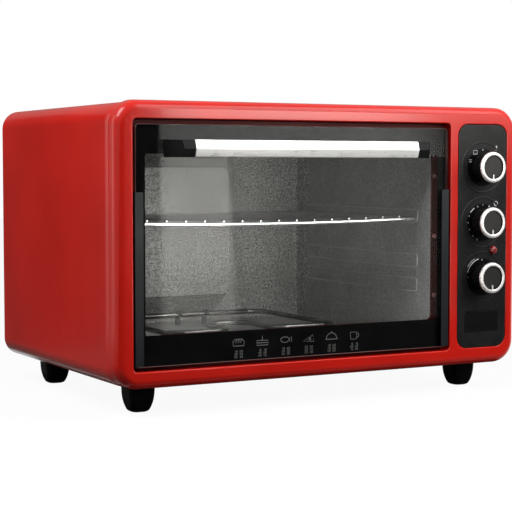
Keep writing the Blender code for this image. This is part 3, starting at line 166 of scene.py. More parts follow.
class NodeTree:
    """The node tree of a material or of the world."""

    def __init__(self, tree: bpy.types.NodeTree) -> None:
        """Empty the tree."""
        self.tree = tree
        tree.nodes.clear()

    def add(
        self, kind: str, settings: dict[str, Any] | None = None,
        inputs: dict[Any, Any] | None = None, output: Any = 0,
    ) -> Socket:
        """Add a node, its settings before its inputs.

        Args:
            kind: type of the node.
            settings: values of its own settings, and "stops" for a ramp.
            inputs: values or sockets of its inputs, by name or place.
            output: name or place of the wanted output.

        Returns:
            The wanted output, empty for a node that has none.
        """
        node = self.tree.nodes.new(kind)
        for key, value in (settings or {}).items():
            if key == "stops":
                self._set_stops(node.color_ramp, value)
            else:
                setattr(node, key, value)
        for key, value in (inputs or {}).items():
            if isinstance(value, Socket):
                self.tree.links.new(value.socket, node.inputs[key])
            else:
                node.inputs[key].default_value = value
        return Socket(self, node.outputs[output] if len(node.outputs) else None)

    @staticmethod
    def _set_stops(ramp: bpy.types.ColorRamp, stops: Stops) -> None:
        """Set a ramp's grey stops.

        Args:
            ramp: the ramp.
            stops: place and grey level of each stop.
        """
        while len(ramp.elements) < len(stops):
            ramp.elements.new(1.0)
        for element, (place, level) in zip(ramp.elements, stops):
            element.position = place
            element.color = (level, level, level, 1.0)

    def place(self) -> Socket:
        """Return the place on the object, in metres."""
        return self.add("ShaderNodeTexCoord", output="Object")

    def vector(self, operation: str, first: Any, second: Any, output: Any = 0) -> Socket:
        """Add one Vector Math node.

        Args:
            operation: name of the node's operation.
            first: vector or socket of its first input.
            second: vector or socket of its second input.
            output: name or place of the wanted output.

        Returns:
            The wanted output.
        """
        return self.add("ShaderNodeVectorMath", {"operation": operation}, {0: first, 1: second}, output)

    def part(self, place: Socket, axis: Axis) -> Socket:
        """Return one coordinate of a place."""
        return self.add("ShaderNodeSeparateXYZ", None, {0: place}, axis.value)

    def noise(self, place: Socket, layer: Layer) -> Socket:
        """Return a layer's noise at a place, around one half."""
        inputs = {"Scale": layer.scale, "Detail": layer.detail, "Roughness": layer.rough}
        return self.add("ShaderNodeTexNoise", None, {"Vector": place, **inputs}, "Fac")

    def ramp(self, value: Socket, stops: Stops) -> Socket:
        """Return a value carried through a ramp of grey stops."""
        return self.add("ShaderNodeValToRGB", {"stops": stops}, {"Fac": value})

    def mix(self, share: Any, first: Any, second: Any) -> Socket:
        """Mix two colours.

        Args:
            share: share of the second colour.
            first: colour or socket.
            second: colour or socket.

        Returns:
            The mixed colour.
        """
        pair = [value if isinstance(value, Socket) else (*value, 1.0) for value in (first, second)]
        return self.add("ShaderNodeMix", {"data_type": "RGBA"}, {0: share, 6: pair[0], 7: pair[1]}, 2)

    def bump(self, height: Socket, strength: float, distance: float) -> Socket:
        """Return a normal that follows a height, in metres."""
        inputs = {"Height": height, "Strength": strength, "Distance": distance}
        return self.add("ShaderNodeBump", None, inputs)

    def finish(self, shader: Socket, kind: str = "ShaderNodeOutputMaterial") -> None:
        """Send a shader to the output, of a material if no other kind is named."""
        self.add(kind, None, {"Surface": shader})


@dataclass(frozen=True)
class Finish:
    """A finish of the oven, made once and shared by its pieces."""

    name: str
    slot: str
    colour: Colour
    roughness: float = 0.4
    metallic: float = 0.0
    specular: float = field(default=0.16, kw_only=True)

    def material(self) -> bpy.types.Material:
        """Return the finish's material, made the first time."""
        found = bpy.data.materials.get(f"look_{self.name}")
        if found is not None:
            return found
        material, tree = new_material(f"look_{self.name}")
        tree.finish(self.shader(tree))
        material.diffuse_color = (*self.colour, 1.0)
        return material

    def shade(self, factor: float, lift: float = 0.0) -> Colour:
        """Return the finish's colour times a factor, plus a lift, at most 1."""
        return tuple(min(1.0, part * factor + lift) for part in self.colour)

    def uneven(self, *layers: tuple[Socket, float]) -> Socket:
        """Return the finish's roughness, moved about by noises, each by up to half its amount."""
        rough: Any = self.roughness
        for noise, amount in layers:
            rough = rough + (noise - 0.5) * amount
        return rough

    def principled(self, tree: NodeTree, inputs: dict[str, Any]) -> Socket:
        """Add the finish's Principled shader.

        Args:
            tree: the material's tree.
            inputs: sockets and constants that differ from the plain finish.

        Returns:
            The shader.
        """
        values: dict[str, Any] = {
            "Base Color": (*self.colour, 1.0), "Roughness": self.roughness, "Metallic": self.metallic,
            "Specular IOR Level": self.specular,
        }
        return tree.add("ShaderNodeBsdfPrincipled", None, {**values, **inputs})

    def shader(self, tree: NodeTree) -> Socket:
        """Return the finish's shader."""
        return self.principled(tree, {})


def new_material(name: str) -> tuple[bpy.types.Material, NodeTree]:
    """Return a new material and its emptied tree."""
    material = bpy.data.materials.new(name)
    material.use_nodes = True
    return material, NodeTree(material.node_tree)


@dataclass(frozen=True)
class Enamel(Finish):
    """Glossy red paint with a faint orange peel and fine dust in the gloss."""

    coat: float = 0.08
    coat_rough: ClassVar[float] = 0.05
    layers: ClassVar[tuple[Layer, ...]] = (Layer(9.0, 3.0), Layer(420.0, 1.0), Layer(2600.0))
    depth_stops: ClassVar[Stops] = ((0.35, 0.0), (0.65, 1.0))
    peel_strength: ClassVar[float] = 0.05
    peel_depth: ClassVar[float] = 0.0004

    def shader(self, tree: NodeTree) -> Socket:
        """Return the enamel's shader."""
        place = tree.place()
        cloud, peel, dust = (tree.noise(place, layer) for layer in self.layers)
        colour = tree.mix(tree.ramp(cloud, self.depth_stops), self.shade(0.86), self.colour)
        return self.principled(tree, {
            "Base Color": colour, "Roughness": self.uneven((cloud, 0.08), (dust, 0.05)),
            "Normal": tree.bump(peel + dust * 0.15, self.peel_strength, self.peel_depth),
            "Coat Weight": self.coat, "Coat Roughness": self.coat_rough,
        })


@dataclass(frozen=True)
class MottledSteel(Finish):
    """Aluminised sheet with soft cloudy patches, and a fine speckle that is full only far back."""

    speckle: float = 0.35
    layers: ClassVar[tuple[Layer, ...]] = (
        Layer(900.0, 2.0, 0.6), Layer(420.0, 3.0, 0.65), Layer(26.0, 4.0, 0.6),
    )
    speckle_stops: ClassVar[Stops] = ((0.42, 0.0), (0.58, 1.0))
    back_stops: ClassVar[Stops] = ((0.1235, 0.40), (0.1355, 1.0))
    patch_stops: ClassVar[Stops] = ((0.4, 0.0), (0.75, 0.6))
    grain_strength: ClassVar[float] = 0.25
    grain_depth: ClassVar[float] = 0.0004

    def shader(self, tree: NodeTree) -> Socket:
        """Return the sheet's shader."""
        place = tree.place()
        fine, grain, cloud = (tree.noise(place, layer) for layer in self.layers)
        level = tree.ramp(fine * 0.55 + grain * 0.45, self.speckle_stops)
        spots = tree.mix(level, self.shade(1.0 - self.speckle), self.shade(1.0 + self.speckle))
        deep = tree.ramp(tree.part(place, Axis.Y), self.back_stops)
        speckled = tree.mix(deep, self.colour, spots)
        return self.principled(tree, {
            "Base Color": tree.mix(tree.ramp(cloud, self.patch_stops), speckled, self.shade(0.72)),
            "Roughness": self.uneven((fine, 0.25), (cloud, 0.2)),
            "Normal": tree.bump(fine * 0.6 + grain * 0.4, self.grain_strength, self.grain_depth),
        })


@dataclass(frozen=True)
class SatinMetal(Finish):
    """Metal with a fine line along one axis and slightly uneven gloss."""

    grain: Point3 = (40.0, 3000.0, 3000.0)
    depth: float = 0.08
    line_layer: ClassVar[Layer] = Layer(1.0, 3.0)
    cloud_layer: ClassVar[Layer] = Layer(60.0, 3.0)
    line_stops: ClassVar[Stops] = ((0.3, 0.0), (0.7, 1.0))
    line_depth: ClassVar[float] = 0.0002

    def shader(self, tree: NodeTree) -> Socket:
        """Return the metal's shader."""
        place = tree.place()
        lines = tree.noise(tree.vector("MULTIPLY", place, self.grain), self.line_layer)
        cloud = tree.noise(place, self.cloud_layer)
        return self.principled(tree, {
            "Base Color": tree.mix(tree.ramp(lines, self.line_stops), self.shade(0.86), self.colour),
            "Roughness": self.uneven((lines, 0.16), (cloud, 0.1)),
            "Normal": tree.bump(lines, self.depth, self.line_depth),
        })


@dataclass(frozen=True)
class BakedTube(Finish):
    """Heater tube, oxidised by heat in long soft patches."""

    burnt: Colour = (0.05, 0.045, 0.045)
    layers: ClassVar[tuple[Layer, ...]] = (Layer(30.0, 4.0), Layer(900.0))
    patch_stops: ClassVar[Stops] = ((0.35, 0.0), (0.7, 1.0))
    grain_strength: ClassVar[float] = 0.15
    grain_depth: ClassVar[float] = 0.0002

    def shader(self, tree: NodeTree) -> Socket:
        """Return the tube's shader."""
        place = tree.place()
        patch, fine = (tree.noise(place, layer) for layer in self.layers)
        return self.principled(tree, {
            "Base Color": tree.mix(tree.ramp(patch, self.patch_stops), self.colour, self.burnt),
            "Roughness": self.uneven((patch, 0.3), (fine, 0.1)),
            "Normal": tree.bump(fine, self.grain_strength, self.grain_depth),
        })


@dataclass(frozen=True)
class Moulded(Finish):
    """Moulded plastic or rubber with a fine grain."""

    grain: float = 1400.0
    depth: float = 0.15
    cloud_layer: ClassVar[Layer] = Layer(35.0, 3.0)
    pale_stops: ClassVar[Stops] = ((0.35, 0.0), (0.8, 0.5))
    grain_depth: ClassVar[float] = 0.0002

    def shader(self, tree: NodeTree) -> Socket:
        """Return the plastic's shader."""
        place = tree.place()
        fine = tree.noise(place, Layer(self.grain))
        cloud = tree.noise(place, self.cloud_layer)
        pale = self.shade(1.5, 0.004)
        return self.principled(tree, {
            "Base Color": tree.mix(tree.ramp(cloud, self.pale_stops), self.colour, pale),
            "Roughness": self.uneven((cloud, 0.14), (fine, 0.1)),
            "Normal": tree.bump(fine, self.depth, self.grain_depth),
        })


@dataclass(frozen=True)
class Pane(Finish):
    """Clear glass that mirrors more at a low angle."""

    tint: Colour = (0.965, 0.97, 0.968)
    mirror: float = 0.12
    smear_layer: ClassVar[Layer] = Layer(14.0, 3.0)
    index: ClassVar[float] = 1.5

    def shader(self, tree: NodeTree) -> Socket:
        """Return the glass's shader."""
        smear = tree.noise(tree.place(), self.smear_layer)
        gloss = self.principled(tree, {"Roughness": self.uneven((smear, 0.004))})
        clear = tree.add("ShaderNodeBsdfTransparent", None, {"Color": (*self.tint, 1.0)})
        share = tree.add("ShaderNodeFresnel", None, {"IOR": self.index})
        return tree.add("ShaderNodeMixShader", None, {0: share * self.mirror, 1: clear, 2: gloss})


@dataclass(frozen=True)
class Lens(Finish):
    """Clear coloured plastic with a soft depth."""

    coat: float = 1.0
    coat_rough: ClassVar[float] = 0.03
    edge_blend: ClassVar[float] = 0.35

    def shader(self, tree: NodeTree) -> Socket:
        """Return the lens's shader."""
        facing = tree.add("ShaderNodeLayerWeight", None, {"Blend": self.edge_blend}, "Facing")
        return self.principled(tree, {
            "Base Color": tree.mix(facing, self.colour, self.shade(0.25)),
            "Coat Weight": self.coat, "Coat Roughness": self.coat_rough,
        })


class Finishes:
    """Every finish of the oven."""

    _EVEN: Point3 = (900.0, 900.0, 900.0)
    _UPRIGHT: Point3 = (3000.0, 3000.0, 40.0)
    RED = Enamel("red_enamel", "red_paint", (0.60, 0.0130, 0.0070), 0.20, specular=0.22)
    # Darker copy of the red enamel for the bezel's returns and inner flange: painted shade inside the door
    # and panel openings.
    RETURN = Enamel("red_return", "red_paint", (0.085, 0.0035, 0.003), 0.45, 0.0, 0.0, specular=0.08)
    LINER = MottledSteel(
        "mottled_liner", "liner_steel", (0.56, 0.56, 0.55), 0.50, 0.15, 0.80, specular=0.25,
    )
    # Lighter copy of the liner's steel for the pressed guides: the lighter colour paints their highlights,
    # the higher gloss is the steel's own.
    GUIDE = MottledSteel("guide_steel", "liner_steel", (0.80, 0.80, 0.78), 0.36, 0.4, 0.25, specular=0.5)
    GALVANISED = MottledSteel("galvanised", "galvanised_steel", (0.55, 0.55, 0.54), 0.42, 0.9, 0.15)
    TUBE = BakedTube("heater_tube", "heater_steel", (0.21, 0.205, 0.20), 0.16, 0.95)
    STRIP = SatinMetal("post_strip", "heater_steel", (0.016, 0.0155, 0.015), 0.5, 0.15, specular=0.15)
    CHROME = SatinMetal("rack_chrome", "chrome", (0.74, 0.74, 0.75), 0.18, 0.9, _EVEN, 0.03)
    SILVER = SatinMetal("handle_silver", "aluminium", (0.80, 0.80, 0.79), 0.30, 0.6)
    RING = SatinMetal("ring_silver", "aluminium", (0.90, 0.88, 0.86), 0.28, 0.5, (700.0,) * 3, 0.04)
    DARK_CHANNEL = SatinMetal("channel_grey", "dark_steel", (0.013, 0.0145, 0.0165), 0.42, 0.2, _UPRIGHT)
    BADGE = SatinMetal("badge_face", "dark_steel", (0.007, 0.007, 0.008), 0.30, 0.3)
    BLACK = Moulded("black_plastic", "black_plastic", (0.0045, 0.0045, 0.0048), 0.36, specular=0.07)
    FACE = Moulded("knob_face", "black_plastic", (0.0135, 0.0135, 0.013), 0.44, specular=0.20)
    PANEL = Moulded(
        "panel_black", "panel_plastic", (0.0120, 0.0120, 0.0122), 0.28, 0.0, 900.0, 0.06, specular=0.11,
    )
    # Darker flat disc round each knob, set in place of the dished recess there: painted shade of the dish.
    FIELD = Moulded(
        "dial_field", "panel_plastic", (0.0022, 0.0022, 0.0024), 0.20, 0.0, 900.0, 0.03, specular=0.08,
    )
    FOOT = Moulded("foot_black", "foot_plastic", (0.0048, 0.0047, 0.0048), 0.5, specular=0.05)
    RUBBER = Moulded("inlet_rubber", "rubber", (0.008, 0.008, 0.008), 0.7)
    BORDER = Moulded(
        "border_print", "glass", (0.0055, 0.0055, 0.0058), 0.4, 0.0, 2200.0, 0.0, specular=0.0,
    )
    WHITE_PRINT = Moulded("white_print", "panel_plastic", (0.55, 0.55, 0.55), 0.5, 0.0, 3000.0, 0.05)
    SIGN_PRINT = Moulded("sign_print", "glass", (0.24, 0.24, 0.235), 0.5, 0.0, 3000.0, 0.05)
    CERAMIC = Moulded("ceramic", "ceramic", (0.62, 0.58, 0.50), 0.4, specular=0.4)
    SCREW = SatinMetal("screw_zinc", "screw_steel", (0.72, 0.72, 0.71), 0.26, 1.0, _EVEN)
    # Darker, reddish heads of the flange screws: partly their own red paint, partly painted shade of the
    # recess behind the pane.
    FLANGE_SCREW_PAINT_AND_SHADE = SatinMetal("screw_dull", "screw_steel", (0.30, 0.12, 0.11), 0.34, 0.8, _EVEN)
    GLASS = Pane("clear_pane", "glass", (0.9, 0.92, 0.92), 0.005, 1.0, specular=0.5)
    # Pinkish colour of the pane's ground edge: painted reflection of the red bezel.
    EDGE = Lens("glass_edge", "glass", (0.16, 0.085, 0.08), 0.2, 0.0, 0.15, specular=0.2)
    LENS = Lens("red_lens", "red_lens", (0.26, 0.008, 0.008), 0.12, 0.0, 0.35, specular=0.25)


def arc(centre: Point2, radius: float, start: float, turn: float, steps: int) -> list[Point2]:
    """Lay points along an arc.

    Args:
        centre: middle of the arc.
        radius: its radius.
        start: angle of the first point.
        turn: angle from the first point to the last.
        steps: number of stretches.

    Returns:
        The points, both ends among them.
    """
    angles = [start + turn * step / steps for step in range(steps + 1)]
    return [(centre[0] + radius * math.cos(a), centre[1] + radius * math.sin(a)) for a in angles]


def swell(wide: float, high: float, turn: float, steps: int) -> list[Point2]:
    """Lay points along an arc about the origin that is stretched to two radii.

    Args:
        wide: radius along the first coordinate, on which the arc starts.
        high: radius along the second.
        turn: angle from the first point to the last.
        steps: number of stretches.

    Returns:
        The points, both ends among them.
    """
    angles = [turn * step / steps for step in range(steps + 1)]
    return [(wide * math.cos(a), high * math.sin(a)) for a in angles]


def rounded_outline(
    left: float, low: float, right: float, high: float, radius: float, steps: int = 14,
    top_radius: float | None = None,
) -> list[Point2]:
    """Lay out a rectangle with round corners.

    Args:
        left: lowest X.
        low: lowest Z.
        right: highest X.
        high: highest Z.
        radius: radius of the lower corners.
        steps: stretches in each corner.
        top_radius: radius of the upper corners, if it is another one.

    Returns:
        The outline, from the lower left corner on round by the lower right.
    """
    top = radius if top_radius is None else top_radius
    outline = arc((left + radius, low + radius), radius, 2 * QUARTER, QUARTER, steps)
    outline += arc((right - radius, low + radius), radius, 3 * QUARTER, QUARTER, steps)
    outline += arc((right - top, high - top), top, 0.0, QUARTER, steps)
    return outline + arc((left + top, high - top), top, QUARTER, QUARTER, steps)


def grown(box: Box, by: float) -> Box:
    """Return a box grown all round."""
    left, low, right, high = box
    return left - by, low - by, right + by, high + by


def ring_at(form: Form, outline: Iterable[Point2], y: float) -> Ring:
    """Add an outline's points at a place along Y and return them."""
    return [form.verts.new((x, y, z)) for x, z in outline]


def rings_at(
    form: Form, outline: Callable[[float], Sequence[Point2]], levels: Iterable[Point2],
) -> list[Ring]:
    """Add an outline once for each level.

    Args:
        form: the mesh.
        outline: gives the outline, grown or drawn in by a level's first number.
        levels: that number and the place along Y.

    Returns:
        The rings.
    """
    return [ring_at(form, outline(change), y) for change, y in levels]


def rounding(radius: float, steps: int) -> list[Point2]:
    """Lay out a quarter rounding of a front edge.

    Args:
        radius: its radius.
        steps: number of stretches.

    Returns:
        How far each ring is drawn in and how deep it lies, from the front on.
    """
    turns = [QUARTER * step / steps for step in range(steps + 1)]
    return [(radius * (1 - math.sin(turn)), radius * (1 - math.cos(turn))) for turn in turns]


def back_rounding(radius: float, place: float, steps: int) -> list[Point2]:
    """Return the same for a back edge at a place along Y, with places in place of depths."""
    return [(inset, place - depth) for inset, depth in reversed(rounding(radius, steps))]


def bridge(form: Form, rings: Sequence[Ring]) -> list[bmesh.types.BMFace]:
    """Join rings of as many points as each other by faces.

    Args:
        form: the mesh.
        rings: the rings, in order.

    Returns:
        The new faces.
    """
    faces = []
    for first, second in zip(rings, rings[1:]):
        count = len(first)
        for here in range(count):
            there = (here + 1) % count
            faces.append(form.faces.new((first[here], first[there], second[there], second[here])))
    return faces


def cap(form: Form, rings: Sequence[Ring]) -> None:
    """Close a row of rings at both ends."""
    form.faces.new(rings[0])
    form.faces.new(rings[-1])


def skinned(form: Form, rings: Sequence[Ring], closed: bool) -> None:
    """Join rings by faces, and close the row on itself or at both ends."""
    bridge(form, [*rings, rings[0]] if closed else rings)
    if not closed:
        cap(form, rings)


def ring_edges(ring: Ring) -> list[bmesh.types.BMEdge]:
    """Return the edges between neighbours of a closed ring that is part of some face."""
    found = []
    for here, there in zip(ring, [*ring[1:], ring[0]]):
        found.append(next(edge for edge in here.link_edges if edge.other_vert(here) is there))
    return found


def fill_between(form: Form, rings: Sequence[Ring]) -> None:
    """Fill the flat face inside the first ring and outside the others."""
    edges = [edge for ring in rings for edge in ring_edges(ring)]
    bmesh.ops.triangle_fill(form, use_beauty=True, edges=edges)


def tube_path(
    corners: Sequence[Point3], bend: float, closed: bool = False, steps: int = 10,
) -> list[Vector]:
    """Lay a path through corners with round bends.

    Args:
        corners: the corners, and both ends of an open path.
        bend: radius of the bends.
        closed: whether the path runs back to its start.
        steps: stretches in each bend.

    Returns:
        The points of the path.
    """
    count = len(corners)
    path = [] if closed else [Vector(corners[0])]
    for here in range(count) if closed else range(1, count - 1):
        corner = Vector(corners[here])
        before = (corner - Vector(corners[here - 1])).normalized()
        after = (Vector(corners[(here + 1) % count]) - corner).normalized()
        angle = before.angle(after)
        start = corner - before * bend * math.tan(angle / 2)
        side = (after - before * before.dot(after)).normalized()
        centre = start + side * bend
        for step in range(steps + 1):
            turn = angle * step / steps
            path.append(centre + (start - centre) * math.cos(turn) + before * bend * math.sin(turn))
    return path if closed else [*path, Vector(corners[-1])]


def sweep(
    form: Form, path: Sequence[Vector], section: Callable[[int], Sequence[Point2]],
    up: Vector, closed: bool = False,
) -> None:
    """Carry a section along a path.

    Args:
        form: the mesh that it is added to.
        path: points of the path.
        section: gives the section at a point's number, as places sideways and along up.
        up: direction that stays square to the path.
        closed: whether the path runs back to its start.
    """
    count = len(path)
    rings = []
    for here in range(count):
        before = path[here - 1] if here or closed else path[here]
        after = path[(here + 1) % count] if here < count - 1 or closed else path[here]
        along = (after - before).normalized()
        side = along.cross(up).normalized()
        lift = side.cross(along)
        rings.append([form.verts.new(path[here] + side * s + lift * t) for s, t in section(here)])
    skinned(form, rings, closed)


def circle(radius: float, steps: int = 16) -> list[Point2]:
    """Return a circle round the origin."""
    return arc((0.0, 0.0), radius, 0.0, 4 * QUARTER, steps)[:-1]


def lathe(
    form: Form, profile: Sequence[Point2], centre: Point3, steps: int = 64,
    along: Point3 = (0.0, -1.0, 0.0), scallop: Callable[[float, float], float] | None = None,
) -> None:
    """Turn a profile round an axis.

    Args:
        form: the mesh that it is added to.
        profile: radius and height of each point, from one end of the axis to the other or a loop.
        centre: foot of the axis.
        steps: stretches round the axis.
        along: direction that heights are measured in.
        scallop: gives what is added to a radius at an angle and a radius.
    """
    axis = Vector(along).normalized()
    side = axis.orthogonal().normalized()
    other = axis.cross(side)
    rings = []
    for radius, height in profile:
        if radius < WELD:
            rings.append([form.verts.new(Vector(centre) + axis * height)])
            continue
        ring = []
        for step in range(steps):
            angle = 4 * QUARTER * step / steps
            reach = radius + (scallop(angle, radius) if scallop else 0.0)
            place = side * math.cos(angle) + other * math.sin(angle)
            ring.append(form.verts.new(Vector(centre) + axis * height + place * reach))
        rings.append(ring)
    for first, second in zip(rings, rings[1:]):
        if len(first) == 1 and len(second) == 1:
            continue
        for here in range(steps):
            there = (here + 1) % steps
            if len(first) == 1:
                form.faces.new((first[0], second[there], second[here]))
            elif len(second) == 1:
                form.faces.new((first[here], first[there], second[0]))
            else:
                form.faces.new((first[here], first[there], second[there], second[here]))


def prism(
    form: Form, outline: Sequence[Point2], start: float, end: float, axis: Axis = Axis.Y,
) -> None:
    """Draw a flat outline out along an axis.

    Args:
        form: the mesh that it is added to.
        outline: the outline in the two other coordinates, in their order.
        start: place of the first end.
        end: place of the other end.
        axis: the axis.
    """
    def point(pair: Point2, place: float) -> Point3:
        """Return a point of the outline in space."""
        spot = list(pair)
        spot.insert(list(Axis).index(axis), place)
        return tuple(spot)

    rings = [[form.verts.new(point(pair, place)) for pair in outline] for place in (start, end)]
    skinned(form, rings, False)


def height_of(face: bmesh.types.BMFace) -> float:
    """Return how high a face's middle lies."""
    return face.calc_center_median().z


def face_up(form: Form, face: bmesh.types.BMFace) -> None:
    """Turn all faces of a sheet so that they agree and one of them looks up."""
    bmesh.ops.recalc_face_normals(form, faces=form.faces)
    if face.normal.z < 0:
        bmesh.ops.reverse_faces(form, faces=form.faces)


def settle(form: Form, name: str) -> bpy.types.Mesh:
    """Turn a form into a smooth mesh with its faces out, and free the form."""
    bmesh.ops.recalc_face_normals(form, faces=form.faces)
    mesh = bpy.data.meshes.new(name)
    form.to_mesh(mesh)
    form.free()
    mesh.shade_smooth()
    return mesh


def linked(name: str, data: Any) -> bpy.types.Object:
    """Make an object out of its data and put it in the scene."""
    item = bpy.data.objects.new(name, data)
    bpy.context.scene.collection.objects.link(item)
    return item


def combined(first: Form, second: Form, operation: str) -> Form:
    """Combine two closed forms.

    Args:
        first: the form that is changed.
        second: the form that it is changed by.
        operation: DIFFERENCE, UNION or INTERSECT.

    Returns:
        The new form.
    """
    items = [linked("scratch", settle(form, "scratch")) for form in (first, second)]
    boolean = items[0].modifiers.new("combine", "BOOLEAN")
    boolean.operation = operation
    boolean.solver = "EXACT"
    boolean.object = items[1]
    bpy.context.view_layer.update()
    shown = items[0].evaluated_get(bpy.context.evaluated_depsgraph_get())
    result = bmesh.new()
    result.from_mesh(shown.to_mesh())
    for item in items:
        mesh = item.data
        bpy.data.objects.remove(item, do_unlink=True)
        bpy.data.meshes.remove(mesh)
    bmesh.ops.remove_doubles(result, verts=result.verts, dist=WELD)
    bmesh.ops.dissolve_limit(
        result, angle_limit=math.radians(FLAT_ANGLE), verts=result.verts, edges=result.edges,
    )
    return result


@dataclass
class Bench:
    """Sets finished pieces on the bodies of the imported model."""

    nodes: dict[str, bpy.types.Object]
    origin: Vector = field(init=False)
    rounding_segments: ClassVar[int] = 3
    rounding_angle: ClassVar[float] = 30.0

    def __post_init__(self) -> None:
        """Take the body frame's place from the bezel."""
        self.origin = Vector(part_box("front_bezel")[0])

    def piece(
        self, name: str, form: Form, finish: Finish, body: Body,
        stands_for: Sequence[str] = (), bevel: float = 0.0, sharp: float = 40.0,
        more: Sequence[Finish] = (),
    ) -> None:
        """Make a piece out of a form in the body frame.

        Args:
            name: name of the piece.
            form: its mesh, which is used up.
            finish: its finish.
            body: the body that it rides on.
            stands_for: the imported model's nodes that it replaces.
            bevel: width of the rounding on its edges, if any.
            sharp: angle in degrees above which an edge stays crisp.
            more: finishes of its faces with a higher material index.
        """
        form.normal_update()
        bmesh.ops.translate(form, vec=self.origin, verts=form.verts)
        mesh = settle(form, name)
        for each in (finish, *more):
            mesh.materials.append(each.material())
        item = linked(name, mesh)
        if bevel > 0.0:
            rounding = item.modifiers.new("rounding", "BEVEL")
            rounding.width = bevel
            rounding.segments = self.rounding_segments
            rounding.limit_method = "ANGLE"
            rounding.angle_limit = math.radians(self.rounding_angle)
        else:
            mesh.set_sharp_from_angle(angle=math.radians(sharp))
        even = item.modifiers.new("even", "WEIGHTED_NORMAL")
        even.keep_sharp = True
        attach(item, body.value)
        if stands_for:
            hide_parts(*stands_for)
        LOG.info("%s rides on %s", name, body.value)

    def dress(self, finish: Finish, *names: str) -> None:
        """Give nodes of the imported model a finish."""
        for name in names:
            node = self.nodes[name]
            if not node.data.materials:
                node.data.materials.append(finish.material())
            for slot in node.material_slots:
                slot.link = "OBJECT"
                slot.material = finish.material()
            LOG.info("%s takes %s", name, finish.name)


@dataclass
class Layout:
    """Places in the body frame that several sub-assemblies share."""

    width: float = 0.530
    height: float = 0.310
    opening: Box = (0.0203, 0.0197, 0.4311, 0.2907)
    panel: Box = (0.4423, 0.0209, 0.5140, 0.2891)
    mouth: Box = (0.0371, 0.0565, 0.4143, 0.2560)
    cavity: Box = (0.0361, 0.0320, 0.4153, 0.2820)
    case: Box = (0.0012, 0.0010, 0.5288, 0.3078)
    glass: Box = (0.0235, 0.0242, 0.4279, 0.2840)
    depth: float = 0.3655
    flange_front: float = 0.0150
    flange_back: float = 0.0170
    cavity_back: float = 0.3350
    door_x: float = 0.2257
    panel_x: float = 0.47815


@dataclass
class FrontBezel:
    """Red frame round the door and the panel, hollow behind, with an inner flange; its returns and flange
    take a darker copy of the red that paints their shade.
    """

    layout: Layout
    depth: float = 0.0205
    back_edge: float = 0.0011
    corner: float = 0.028
    edge: float = 0.011
    wall: float = 0.002
    lip: float = 0.0014
    opening_corner: float = 0.005
    panel_corner: float = 0.014
    panel_depth: float = 0.006
    mouth_corner: float = 0.006
    edge_steps: int = 12
    brow: float = 0.0011
    draft: float = 0.0005
    draft_end: float = 0.0150
    least_corner: float = 0.004
    foot: Stops = ((0.0, 0.0012), (-0.0004, 0.0004), (-0.0012, 0.0))
    mouth_edge: float = 0.0005

    def _outer(self, inset: float) -> list[Point2]:
        """Return the outside outline, drawn in."""
        box = grown((0.0, 0.0, self.layout.width, self.layout.height), -inset)
        return rounded_outline(*box, max(self.corner - inset, self.least_corner))

    def _door(self, grow: float) -> list[Point2]:
        """Return the door opening's outline, grown, its top a little lower than the core's."""
        left, low, right, high = grown(self.layout.opening, grow)
        return rounded_outline(left, low, right, high - self.brow, self.opening_corner + grow)

    def _panel(self, grow: float) -> list[Point2]:
        """Return the panel opening's outline, grown."""
        return rounded_outline(*grown(self.layout.panel, grow), self.panel_corner + grow)

    def _mouth(self, grow: float) -> list[Point2]:
        """Return the outline of the hole in the inner flange, grown."""
        return rounded_outline(*grown(self.layout.mouth, grow), self.mouth_corner + grow)

    def form(self) -> Form:
        """Build the frame as one closed skin.

        Returns:
            The form.
        """
        form = bmesh.new()
        front, back, wall = self.layout.flange_front, self.layout.flange_back, self.wall
        draft, edge = self.draft, self.mouth_edge
        skin = [(inset + draft, y) for inset, y in rounding(self.edge - draft, self.edge_steps)]
        skin += [(draft / 4, self.draft_end), *back_rounding(self.back_edge, self.depth, 4)]
        inner = reversed(rounding(self.edge - wall, self.edge_steps // 2))
        skin += [(wall, self.depth), *((inset + wall, y + wall) for inset, y in inner)]
        outer = rings_at(form, self._outer, skin)
        lip = rounding(self.lip, 5)
        foot = [(grow, front - rise) for grow, rise in self.foot]
        door = rings_at(form, self._door, (*lip, *foot))
        door += rings_at(form, self._mouth, ((edge, front), (0.0, front + edge), (0.0, back)))
        door += rings_at(form, self._door, ((wall, back), (wall, wall)))
        inside = ((0.0, self.panel_depth), (wall, self.panel_depth), (wall, wall))
        panel = rings_at(form, self._panel, (*lip, *inside))
        red = len(lip)
        for rings in (outer, door[:red + 1], panel[:red + 1]):
            bridge(form, rings)
        # Returns and the inner flange take the darker red, a painted shade.
        for rings in (door[red:], panel[red:]):
            for face in bridge(form, rings):
                face.material_index = 1
        fill_between(form, (outer[0], door[0], panel[0]))
        fill_between(form, (outer[-1], door[-1], panel[-1]))
        return form

    def build(self, bench: Bench) -> None:
        """Set the frame on the oven."""
        bench.piece(
            "bezel_frame", self.form(), Finishes.RED, Body.OVEN, ("front_bezel",),
            sharp=50.0, more=(Finishes.RETURN,),
        )


